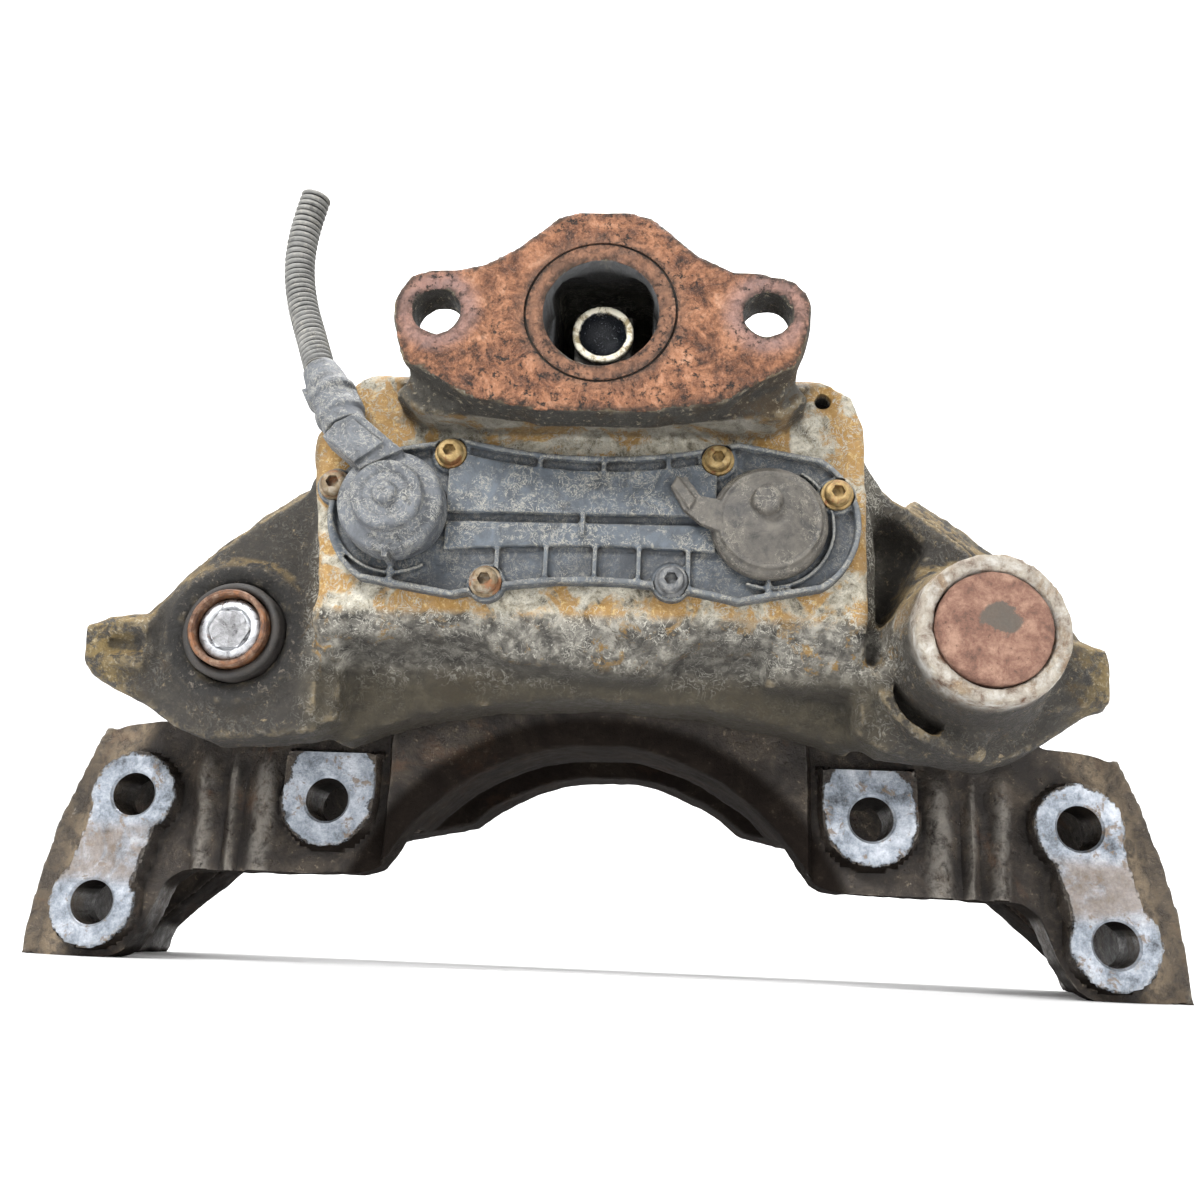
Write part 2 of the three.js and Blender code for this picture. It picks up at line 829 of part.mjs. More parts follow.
function bearingShell(x0, x1) {
  const { y, z } = LEVER_PIVOT;
  return cut(
    shaft(y, z, LEVER_SHAFT_R + 1.7, x0, x1, 32),
    shaft(y, z, LEVER_SHAFT_R + GAP, x0 - 1, x1 + 1, 32),
    block(-60, 60, y - 3, y + 40, z - 40, z + 40),
  );
}
add("bearing_shell_left", bearingShell(-31, -13), BRASS);
add("bearing_shell_right", bearingShell(13, 31), BRASS);

const BRIDGE_Y = [rollerAt.y + ROLLER_R + GAP, 4];
function bridge() {
  const middle = bar(
    [
      [BRIDGE_Y[0], SPINDLE_Z - 14],
      [BRIDGE_Y[1], SPINDLE_Z - 14],
      [BRIDGE_Y[1], SPINDLE_Z + 14],
      [BRIDGE_Y[0] + 9, SPINDLE_Z + 14],
      [BRIDGE_Y[0], SPINDLE_Z + 5],
    ].reverse(),
    -SPINDLE_X,
    SPINDLE_X,
  );
  const bosses = [-SPINDLE_X, SPINDLE_X].map((x) => rod(x, SPINDLE_Z, 22.5, BRIDGE_Y[0], BRIDGE_Y[1], 28));
  const bores = [-SPINDLE_X, SPINDLE_X].map((x) => rod(x, SPINDLE_Z, TUBE_R + GAP, -40, 20, 20));
  return cut(join(middle, ...bosses), ...bores);
}
add("bridge", bridge(), STEEL);

const TUBE_Y = [-50, 11.7];
const TAPPET_Y = [12, 18.6];
for (const [side, word] of [
  [-1, "left"],
  [1, "right"],
]) {
  const x = side * SPINDLE_X;
  add(
    `threaded_tube_${word}`,
    cut(rod(x, SPINDLE_Z, TUBE_R, ...TUBE_Y, 20), rod(x, SPINDLE_Z, 9, TUBE_Y[0] - 1, 4, 12)),
    STEEL,
  );
  add(
    `tappet_${word}`,
    turned(
      [
        [0, TAPPET_Y[0]],
        [TAPPET_R - 3, TAPPET_Y[0]],
        [TAPPET_R, TAPPET_Y[0] + 2],
        [TAPPET_R, TAPPET_Y[1] - 1],
        [TAPPET_R - 1, TAPPET_Y[1]],
        [0, TAPPET_Y[1]],
      ],
      x,
      SPINDLE_Z,
      24,
    ),
    STEEL,
  );
  add(
    `tappet_boot_${word}`,
    turned(
      [
        [TUBE_R + 0.6, 8.9],
        [18.5, 8.9],
        [21.5, 10.2],
        [18.5, 11.7],
        [TUBE_R + 0.6, 11.7],
        [TUBE_R + 1.8, 10.3],
        [TUBE_R + 0.6, 8.9],
      ],
      x,
      SPINDLE_Z,
      20,
    ),
    RUBBER,
  );
  const teeth = 12;
  const wheel = [];
  for (let i = 0; i < teeth * 2; i += 1) {
    const angle = (i / (teeth * 2)) * Math.PI * 2;
    const r = i % 2 ? 14.4 : 12;
    wheel.push([x + r * Math.cos(angle), SPINDLE_Z + r * Math.sin(angle)]);
  }
  add(
    `sprocket_${word}`,
    join(plate(wheel, ...CHAIN_Y), hexagon(x, SPINDLE_Z, 12, CHAIN_Y[1] - 1, -12)),
    STEEL,
  );
}

// chain loop round both sprockets, with its rollers standing out as steps
function chainLoop() {
  const r0 = 15;
  const outline = (r) => {
    const points = [];
    for (const [x, from] of [
      [SPINDLE_X, -90],
      [-SPINDLE_X, 90],
    ]) {
      for (let i = 0; i <= 10; i += 1) {
        const angle = radians(from + 18 * i);
        points.push([x + r * Math.cos(angle), SPINDLE_Z + r * Math.sin(angle)]);
      }
    }
    return points;
  };
  const y = CHAIN_Y;
  return cut(plate(outline(r0 + 3.4), y[0] + 0.3, y[1] - 0.3), plate(outline(r0), y[0] - 2, y[1] + 2));
}
add("adjuster_chain", chainLoop(), STEEL);

add("adjuster_unit", ring(SPINDLE_X, SPINDLE_Z, TUBE_R + 0.5, 21.5, -41, -19, 24), BRASS);

// flat-wound spring that pushes the bridge back from the base plate
const spring = ring(0, SPINDLE_Z, 10, 13, 4.3, 8.4, 20);
add("return_spring", spring, STEEL);

add(
  "base_plate",
  cut(
    plate(basePlateOutline(0.4), BOX_BACK_Y - 3.1, BOX_BACK_Y),
    rod(-SPINDLE_X, SPINDLE_Z, 22.2, 0, 20, 28),
    rod(SPINDLE_X, SPINDLE_Z, 22.2, 0, 20, 28),
  ),
  STEEL,
);

// ---------- brake pads ----------
function padOutline(half, bottom, r) {
  const edge = (Math.acos(half / r) * 180) / Math.PI;
  return [
    [-half + 8, bottom],
    [half - 8, bottom],
    [half, bottom + 8],
    ...arc(r, edge, 180 - edge, 10),
    [-half, bottom + 8],
  ];
}
const backOutline = padOutline(PAD_HALF, SEAT_Z + GAP, PAD_R);
const liningOutline = padOutline(PAD_HALF - 6, SEAT_Z + 4, PAD_R - 4);

// leaf spring that arches over the top edge of a backplate
function padSpring(y0) {
  const top = [];
  const under = [];
  for (let i = 0; i <= 8; i += 1) {
    const x = -64 + 16 * i;
    const rise = 5.5 * Math.cos((x / 64) * (Math.PI / 2));
    const z = AXIS_Z + Math.sqrt(PAD_R ** 2 - x ** 2) + 0.5 + rise;
    under.push([x, z]);
    top.unshift([x, z + 1.6]);
  }
  return plate([...under, ...top], y0 + 0.8, y0 + BACKPLATE_T - 0.8);
}

for (const [word, back, lining] of [
  ["inboard", INNER_PAD_Y, INNER_PAD_Y + BACKPLATE_T + GAP],
  ["outboard", OUTER_PAD_Y - BACKPLATE_T, OUTER_PAD_Y - BACKPLATE_T - GAP - LINING_T],
]) {
  add(`pad_backplate_${word}`, plate(backOutline, back, back + BACKPLATE_T), CAST_DARK);
  const grooveStart = word === "inboard" ? lining + GROOVE_FLOOR : lining - 1;
  const wearGroove = block(-1.5, 1.5, grooveStart, grooveStart + LINING_T - GROOVE_FLOOR + 1, 100, 220);
  add(`pad_lining_${word}`, cut(plate(liningOutline, lining, lining + LINING_T), wearGroove), LINING);
  add(`pad_spring_${word}`, padSpring(back), STEEL);
}

// ---------- pad retainer ----------
const retainer = bar(
  [
    [RETAINER.y[0], RETAINER.z[0]],
    [144, RETAINER.z[0]],
    [RETAINER.y[1], RETAINER.z[0]],
    [RETAINER.y[1], RETAINER.z[1] - 0.8],
    [144, RETAINER.z[1] - 0.8],
    [136, RETAINER.z[1]],
    [RETAINER.y[0], RETAINER.z[1]],
  ],
  -RETAINER.half,
  RETAINER.half,
);
add("pad_retainer", retainer, STEEL);
const pin = join(
  shaft(RETAINER_PIN.y, RETAINER_PIN.z, RETAINER_PIN.r, -29, 24, 12),
  shaft(RETAINER_PIN.y, RETAINER_PIN.z, 5, 23.4, 26.4, 14),
);
const clipHole = rod(-26.2, RETAINER_PIN.z, 1.1, 140, 165, 8);
add("retainer_pin", cut(pin, clipHole), ZINC);
const clip = join(
  rod(-26.2, RETAINER_PIN.z, 0.8, 144, 162, 8),
  plate(
    [
      [-31.5, RETAINER_PIN.z - 0.8],
      [-25.4, RETAINER_PIN.z - 0.8],
      [-25.4, RETAINER_PIN.z + 0.8],
      [-31.5, RETAINER_PIN.z + 0.8],
    ],
    161,
    163,
  ),
  block(-32, -30.4, 146, 163, RETAINER_PIN.z - 0.8, RETAINER_PIN.z + 0.8),
);
add("retainer_clip", clip, STEEL);

group.position.y = -MIDDLE_Y;
export default group;
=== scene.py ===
import math

import bmesh
import bpy
from mathutils import Matrix, Vector, noise


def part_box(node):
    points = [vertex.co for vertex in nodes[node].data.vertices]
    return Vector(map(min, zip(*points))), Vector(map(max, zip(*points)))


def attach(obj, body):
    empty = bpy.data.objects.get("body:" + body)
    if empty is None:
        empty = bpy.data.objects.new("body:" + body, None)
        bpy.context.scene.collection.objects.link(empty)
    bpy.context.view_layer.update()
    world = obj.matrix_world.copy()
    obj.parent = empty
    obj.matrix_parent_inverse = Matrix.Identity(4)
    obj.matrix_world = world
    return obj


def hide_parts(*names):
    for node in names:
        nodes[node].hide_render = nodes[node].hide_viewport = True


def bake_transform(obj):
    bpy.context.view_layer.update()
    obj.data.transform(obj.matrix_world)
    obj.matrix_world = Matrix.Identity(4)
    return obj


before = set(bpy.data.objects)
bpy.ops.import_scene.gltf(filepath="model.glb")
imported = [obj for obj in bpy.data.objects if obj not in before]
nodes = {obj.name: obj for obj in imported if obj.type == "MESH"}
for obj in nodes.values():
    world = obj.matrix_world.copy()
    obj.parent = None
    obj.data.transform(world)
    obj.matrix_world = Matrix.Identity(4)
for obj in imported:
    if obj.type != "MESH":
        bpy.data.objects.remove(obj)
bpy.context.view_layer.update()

# Lengths in at(), span() and the mesh code are in millimetres, with Y counted from the carrier's
# mounting face. The lamps, the backdrop and the depths of bumps are in metres.
MIDDLE_Y = 38.5
AXIS_Z = -6.5


def at(x, y, z):
    return Vector((x, y - MIDDLE_Y, z)) / 1000


def row_y(y):
    return (y - MIDDLE_Y) / 1000


def place(co):
    """The other way round: X, Y and Z of a point, in millimetres."""
    return co.x * 1000, co.y * 1000 + MIDDLE_Y, co.z * 1000


# ---------- camera ----------
PITCH = math.radians(15.7)
ROLL = math.radians(2.45)
TURN = math.radians(3.6)
camera_data = bpy.data.cameras.new("camera")
camera_data.sensor_width = 36
camera_data.lens = 36
camera_data.clip_start = 0.01
camera = bpy.data.objects.new("camera", camera_data)
bpy.context.collection.objects.link(camera)
camera.location = at(28.8, -485, 15.7)
camera.rotation_euler = (
    Matrix.Rotation(TURN, 4, "Z")
    @ Matrix.Rotation(math.pi / 2 + PITCH, 4, "X")
    @ Matrix.Rotation(ROLL, 4, "Z")
).to_euler()
bpy.context.scene.camera = camera


# ---------- floor and light ----------
def mesh_object(name, bm):
    mesh = bpy.data.meshes.new(name)
    bm.to_mesh(mesh)
    bm.free()
    made = bpy.data.objects.new(name, mesh)
    bpy.context.collection.objects.link(made)
    return made


def backdrop():
    """Flat floor that sweeps up into a wall, in metres."""
    flat, sweep, steps = 2.2, 1.2, 16
    bm = bmesh.new()
    profile = [(-4, 0), (flat, 0)]
    for i in range(1, steps + 1):
        a = math.pi / 2 * i / steps
        profile.append((flat + sweep * math.sin(a), sweep - sweep * math.cos(a)))
    profile.append((flat + sweep, 5))
    rows = [[bm.verts.new((x, y, z)) for x in (-5, 5)] for y, z in profile]
    for a, b in zip(rows, rows[1:]):
        bm.faces.new((a[0], a[1], b[1], b[0]))
    made = mesh_object("backdrop", bm)
    made.data.shade_smooth()
    return made


def lamp(name, spot, aim, size, watts):
    data = bpy.data.lights.new(name, "AREA")
    data.shape = "RECTANGLE"
    data.size, data.size_y = size
    data.energy = watts
    made = bpy.data.objects.new(name, data)
    bpy.context.collection.objects.link(made)
    made.location = spot
    made.rotation_euler = (Vector(aim) - Vector(spot)).to_track_quat("-Z", "Y").to_euler()


floor = backdrop()
world = bpy.data.worlds.new("soft_white")
world.use_nodes = True
world.node_tree.nodes["Background"].inputs["Color"].default_value = (1, 1, 1, 1)
world.node_tree.nodes["Background"].inputs["Strength"].default_value = 0.6
bpy.context.scene.world = world
bpy.context.scene.view_settings.view_transform = "Standard"
lamp("key", (-0.5, -0.95, 1.0), (0, -0.05, 0.13), (0.45, 0.35), 23)
lamp("fill", (0.85, -0.9, 0.5), (0, -0.05, 0.12), (0.5, 0.5), 6)
lamp("top", (0.05, 0.1, 1.3), (0, 0, 0.1), (0.6, 0.6), 9)
lamp("backdrop_wash", (0, 0.9, 3.4), (0, 3.3, 1.1), (3.5, 0.8), 190)


# ---------- places that the pieces share ----------
def middle(node):
    """Middle of a node, in millimetres, with Y from the mounting face."""
    low, high = (Vector(corner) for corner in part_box(node))
    centre = (low + high) * 500
    return centre.x, centre.y + MIDDLE_Y, centre.z


PIN_X, _, PIN_Z = middle("guide_bolt_long")
SCREWS = [middle(f"cover_screw_{number}") for number in range(1, 7)]
SENSOR_X, SENSOR_Z = -75, 165.5
CAP_X, CAP_Z = 63, 163
FLANGE_Z = 234.5
STUD_X = 60.3
BOLT_CIRCLE_R = 203
OUTER_HOLES = [
    (BOLT_CIRCLE_R * math.cos(math.radians(a)), AXIS_Z + BOLT_CIRCLE_R * math.sin(math.radians(a)))
    for a in (20.5, 7.8)
]
INNER_HOLE = (109.6, 65.2)


# ---------- materials ----------
class Shade:
    """One procedural material, built from its own node tree. Masks run from 0 to 1."""

    def __init__(self, name):
        self.material = bpy.data.materials.new(name)
        self.material.use_nodes = True
        self.tree = self.material.node_tree
        self.bsdf = self.tree.nodes["Principled BSDF"]
        coords = self.tree.nodes.new("ShaderNodeTexCoord")
        self.place = coords.outputs["Object"]
        self.x, self.y, self.z = self.node("ShaderNodeSeparateXYZ", {0: self.place}).outputs
        self.y = self.add(self.y, MIDDLE_Y / 1000)
        self.nz = self.node("ShaderNodeSeparateXYZ", {0: coords.outputs["Normal"]}).outputs[2]

    def node(self, kind, inputs, **settings):
        made = self.tree.nodes.new(kind)
        for key, value in settings.items():
            setattr(made, key, value)
        for key, value in inputs.items():
            self.feed(made.inputs[key], value)
        return made

    def feed(self, socket, value):
        if isinstance(value, bpy.types.NodeSocket):
            self.tree.links.new(value, socket)
        elif isinstance(value, tuple):
            socket.default_value = (*value, 1)
        else:
            socket.default_value = value

    def noise(self, scale, detail, rough=0.6, distort=0.0):
        inputs = {"Vector": self.place, "Scale": scale, "Detail": detail, "Roughness": rough}
        return self.node("ShaderNodeTexNoise", {**inputs, "Distortion": distort}).outputs["Fac"]

    def cells(self, scale):
        return self.node("ShaderNodeTexVoronoi", {"Vector": self.place, "Scale": scale}).outputs["Distance"]

    def step(self, value, low, high, out_low=0.0, out_high=1.0):
        """Smooth step of value from low to high."""
        inputs = {"Value": value, "From Min": low, "From Max": high, "To Min": out_low, "To Max": out_high}
        return self.node("ShaderNodeMapRange", inputs, interpolation_type="SMOOTHSTEP").outputs["Result"]

    def span(self, value, low, high, out_low=0.0, out_high=1.0):
        """Smooth step between two lengths in millimetres; s.y counts from the mounting face."""
        return self.step(value, low / 1000, high / 1000, out_low, out_high)

    def mix(self, factor, a, b):
        return self.node("ShaderNodeMix", {0: factor, 6: a, 7: b}, data_type="RGBA").outputs[2]

    def level(self, factor, a, b):
        """Like mix, but for plain numbers."""
        return self.node("ShaderNodeMix", {0: factor, 2: a, 3: b}).outputs[0]

    def ramp(self, factor, stops):
        made = self.node("ShaderNodeValToRGB", {"Fac": factor})
        elements = made.color_ramp.elements
        while len(elements) < len(stops):
            elements.new(0.5)
        for element, (position, colour) in zip(elements, stops):
            element.position = position
            element.color = (*colour, 1)
        return made.outputs["Color"]

    def math(self, what, a, b=0.0, clamp=False):
        return self.node("ShaderNodeMath", {0: a, 1: b}, operation=what, use_clamp=clamp).outputs[0]

    def add(self, a, b):
        return self.math("ADD", a, b)

    def minus(self, a, b):
        return self.math("SUBTRACT", a, b)

    def times(self, a, b):
        return self.math("MULTIPLY", a, b)

    def ragged(self, value, amount):
        """Turns noise into a shift of up to about half the amount, either way."""
        return self.times(self.minus(value, 0.5), amount)

    def veins(self, value, wide, thin):
        """Thin lines where noise crosses its middle."""
        return self.step(self.math("ABSOLUTE", self.minus(value, 0.5)), wide, thin)

    def both(self, first, *others):
        """Product of masks, kept within 0 and 1."""
        for other in others:
            first = self.math("MULTIPLY", first, other, True)
        return first

    def either(self, a, b):
        return self.math("MAXIMUM", a, b)

    def without(self, a, b):
        """a where b is 0, and nothing where b is 1."""
        return self.both(a, self.math("SUBTRACT", 1.0, b, True))

    def coat(self, tone, *masks):
        """Lays a colour over the skin where all the masks are 1."""
        self.skin = self.mix(self.both(*masks), self.skin, tone)

    def pointy(self, low, high):
        geometry = self.tree.nodes.new("ShaderNodeNewGeometry")
        return self.step(geometry.outputs["Pointiness"], low, high)

    def finish(self, rough, metal, bump=None, depth=0.0, strength=0.0):
        self.feed(self.bsdf.inputs["Base Color"], self.skin)
        self.feed(self.bsdf.inputs["Roughness"], rough)
        self.feed(self.bsdf.inputs["Metallic"], metal)
        if bump is not None:
            made = self.node("ShaderNodeBump", {"Height": bump, "Strength": strength, "Distance": depth})
            self.feed(self.bsdf.inputs["Normal"], made.outputs["Normal"])
        return self.material


def away(shade, x, z, sideways=None):
    """Distance in metres from the line along Y through (x, z), given in millimetres."""
    dx = shade.minus(sideways or shade.x, x / 1000)
    dz = shade.minus(shade.z, z / 1000)
    square = shade.add(shade.times(dx, dx), shade.times(dz, dz))
    return shade.math("SQRT", square)


def near(shade, x, z, r0, r1):
    """Mask inside radius r0 and out of r1 of the line along Y through (x, z), in millimetres."""
    return shade.span(away(shade, x, z), r0, r1, 1.0, 0.0)


def housing_material():
    s = Shade("weathered_housing")
    side = s.math("ABSOLUTE", s.x)
    grain = s.noise(1500, 4, 0.75)
    fine = s.noise(620, 7, 0.75)
    middle = s.noise(170, 8, 0.72, 0.3)
    blotch = s.noise(64, 8, 0.72, 0.6)
    broad = s.noise(24, 5, 0.6)
    speckle = s.step(fine, 0.52, 0.62)
    flecks = s.step(s.noise(420, 7, 0.8, 0.4), 0.57, 0.63)
    # grey cast skin under brown dirt and pale flecks
    s.skin = s.ramp(middle, [
        (0.34, (0.022, 0.019, 0.015)), (0.5, (0.085, 0.077, 0.062)), (0.66, (0.2, 0.185, 0.15)),
    ])
    dirt = s.mix(middle, (0.02, 0.015, 0.009), (0.09, 0.065, 0.035))
    s.coat(dirt, s.step(broad, 0.48, 0.62), 0.7)
    s.coat((0.37, 0.34, 0.27), flecks, s.step(blotch, 0.44, 0.58, 0.15, 0.85))
    # front of the box: pale oxide, bare grey and ochre
    front = s.both(s.span(s.y, -56, -60), s.span(s.z, 124, 130), s.span(s.z, 234, 226))
    front = s.both(front, s.span(side, 125, 113))
    pale = s.ramp(middle, [(0.36, (0.1, 0.085, 0.06)), (0.46, (0.42, 0.385, 0.3)), (0.6, (0.76, 0.72, 0.61))])
    pale = s.mix(s.both(s.step(grain, 0.52, 0.64), 0.5), pale, (0.09, 0.075, 0.05))
    s.coat(pale, front, 0.92)
    edges = s.add(s.span(side, 86, 100, 0.0, 0.09), s.span(s.z, 190, 200, 0.0, 0.055))
    edges = s.add(edges, s.span(s.z, 142, 134, 0.0, 0.06))
    field = s.add(s.noise(52, 4, 0.6, 0.9), s.times(edges, front))
    field = s.add(field, s.ragged(middle, 0.35))
    ochre = s.both(s.step(field, 0.51, 0.6), s.either(front, s.step(s.nz, 0.3, 0.8, 0.0, 0.35)))
    ochre_tone = s.mix(speckle, (0.36, 0.19, 0.035), (0.62, 0.44, 0.18))
    s.coat(ochre_tone, ochre, 0.86)
    # white corrosion worms on the sloped underside and the front
    worms = s.veins(s.noise(215, 5, 0.6, 1.4), 0.03, 0.008)
    worm_zone = s.both(s.span(s.y, -24, -40), s.step(blotch, 0.43, 0.52))
    s.coat((0.58, 0.56, 0.49), worms, worm_zone, 0.85)
    patches = s.step(s.noise(95, 7, 0.75, 0.5), 0.56, 0.61)
    patches = s.both(patches, s.span(s.z, 135, 122), s.span(s.y, -44, -52))
    s.coat(s.mix(speckle, (0.3, 0.17, 0.04), (0.5, 0.44, 0.3)), patches, 0.75)
    slope = s.both(s.span(s.z, 131, 127), s.span(s.z, 104, 112), s.span(s.y, -34, -42))
    slope = s.both(slope, s.span(side, 112, 102))
    slope_tone = s.ramp(middle, [
        (0.38, (0.03, 0.028, 0.024)), (0.5, (0.14, 0.132, 0.115)), (0.62, (0.36, 0.345, 0.3)),
    ])
    bare = s.without(0.9, s.either(worms, patches))
    s.coat(slope_tone, slope, bare)
    # olive-brown band low on the body
    low = s.both(s.span(s.z, 118, 104), s.span(side, 120, 100))
    s.coat(s.mix(middle, (0.014, 0.01, 0.006), (0.075, 0.06, 0.032)), low, 0.8)
    # painted shade: surfaces that face down are darkened
    grime_and_painted_shade = s.step(s.nz, -0.55, -0.95)
    s.coat((0.012, 0.009, 0.006), grime_and_painted_shade, 0.6)
    tops = s.both(s.step(s.nz, 0.3, 0.6), s.span(side, 98, 108), s.step(middle, 0.4, 0.52))
    tops = s.both(tops, s.span(s.y, 10, -10, 0.25, 1.0))
    # ears: dark, with tan grains and ochre ends
    ears = s.both(s.span(side, 104, 114), s.span(s.z, 215, 200), s.span(s.y, 4, -8))
    ear_tone = s.mix(s.both(flecks, s.step(blotch, 0.42, 0.56)), (0.022, 0.019, 0.016), (0.24, 0.18, 0.1))
    ear_tone = s.mix(s.both(speckle, 0.25), ear_tone, (0.11, 0.09, 0.065))
    s.coat(ear_tone, ears, 0.85)
    s.coat(s.mix(speckle, (0.22, 0.15, 0.06), (0.42, 0.34, 0.2)), tops, 0.75)
    ends = s.both(s.span(side, 168, 190), s.step(middle, 0.42, 0.56), s.span(s.y, 5, -15, 0.2, 1.0))
    s.coat(s.mix(speckle, (0.2, 0.14, 0.05), (0.4, 0.33, 0.2)), ends, 0.8)
    # bright rim of the long boss, near-black round the short one
    boss = s.both(near(s, PIN_X, PIN_Z, 27.6, 29), s.span(s.y, -72, -84))
    boss_tone = s.ramp(middle, [
        (0.34, (0.11, 0.05, 0.022)), (0.46, (0.34, 0.3, 0.25)), (0.62, (0.6, 0.58, 0.54)),
    ])
    boss_dirt = s.mix(speckle, (0.2, 0.11, 0.045), (0.42, 0.3, 0.17))
    boss_tone = s.mix(s.step(blotch, 0.5, 0.62, 0.0, 0.75), boss_tone, boss_dirt)
    s.coat(boss_tone, boss, 0.92)
    short = s.both(near(s, -PIN_X, PIN_Z, 24, 31), s.span(s.y, -42, -45))
    s.coat(s.mix(flecks, (0.013, 0.012, 0.011), (0.14, 0.12, 0.1)), short, 0.9)
    # actuator flange: dark sides, copper-coloured rust with black pits on the face
    collar = s.both(s.span(s.y, -77, -80), s.span(side, 96, 90))
    dark_side = s.mix(flecks, (0.012, 0.0105, 0.009), (0.27, 0.23, 0.16))
    under = s.both(s.span(s.y, -60, -68), s.span(s.z, 199, 205), s.span(side, 88, 80))
    s.coat(dark_side, s.either(collar, under), 0.9)
    shift = s.ragged(middle, 0.003)
    face = s.span(s.add(s.y, shift), -93.9, -94.4)
    rust = s.ramp(s.noise(110, 9, 0.76, 0.5), [
        (0.36, (0.035, 0.014, 0.008)), (0.46, (0.15, 0.058, 0.027)),
        (0.56, (0.31, 0.135, 0.066)), (0.68, (0.46, 0.25, 0.155)),
    ])
    rust = s.mix(s.both(s.step(grain, 0.5, 0.64), 0.35), rust, (0.43, 0.23, 0.14))
    lilac = s.either(near(s, -STUD_X, FLANGE_Z, 12, 19), near(s, STUD_X, FLANGE_Z, 12, 19))
    rust = s.mix(s.both(lilac, 0.65), rust, s.mix(middle, (0.2, 0.09, 0.07), (0.4, 0.29, 0.27)))
    rim_tone = s.mix(middle, (0.09, 0.04, 0.022), (0.3, 0.17, 0.11))
    rust = s.mix(s.both(s.span(away(s, 0, FLANGE_Z), 34, 27), 0.5), rust, rim_tone)
    pits = s.step(s.noise(300, 7, 0.8), 0.53, 0.6)
    pit_zone = s.step(s.noise(30, 4, 0.6), 0.44, 0.56)
    outer_zone = s.either(s.span(s.z, 211.5, 207.5), s.span(s.z, 260, 270))
    outer_zone = s.either(s.span(side, 72, 80), outer_zone)
    burnt = s.both(s.step(broad, 0.46, 0.36), 0.75)
    rust = s.mix(burnt, rust, s.mix(middle, (0.03, 0.014, 0.008), (0.16, 0.08, 0.045)))
    rust = s.mix(s.both(pits, s.either(pit_zone, outer_zone)), rust, (0.014, 0.009, 0.006))
    crust = s.both(s.pointy(0.505, 0.54), s.step(middle, 0.4, 0.52))
    rust = s.mix(s.both(crust, 0.8), rust, (0.018, 0.012, 0.008))
    s.coat(rust, face)
    # turned bore, and painted shade in the room behind it
    bore = s.both(near(s, 0, FLANGE_Z, 21.5, 21.8), s.span(s.y, -94.4, -93.6), s.span(s.y, -68, -72))
    s.coat(s.mix(middle, (0.035, 0.036, 0.037), (0.19, 0.195, 0.2)), bore)
    cavity = s.both(s.span(side, 19.5, 18.5), s.span(s.z, 204.5, 205.5), s.span(s.z, 257, 256))
    cavity = s.both(cavity, s.span(s.y, -90, -84), s.span(s.y, -1, -4))
    s.coat(s.mix(middle, (0.004, 0.004, 0.004), (0.02, 0.019, 0.018)), cavity)
    # painted highlight with wear: convex edges are lighter, but not on the flange face or in the room behind
    # the bore
    edge = s.both(s.pointy(0.515, 0.56), s.step(middle, 0.42, 0.56))
    edge = s.without(edge, s.either(face, cavity))
    s.coat(s.mix(speckle, (0.28, 0.22, 0.13), (0.46, 0.43, 0.36)), edge, 0.6)
    # painted shade with crevice dirt: concave creases are darker
    s.coat((0.012, 0.01, 0.007), s.pointy(0.492, 0.45), 0.75)
    rough = s.step(middle, 0.3, 0.7, 0.5, 0.85)
    height = s.add(s.times(fine, 0.5), s.times(middle, 0.9))
    height = s.minus(height, s.times(s.both(pits, face), 0.35))
    height = s.add(height, s.times(s.both(worms, worm_zone), 0.15))
    return s.finish(rough, 0.2, height, 0.0022, 0.85)


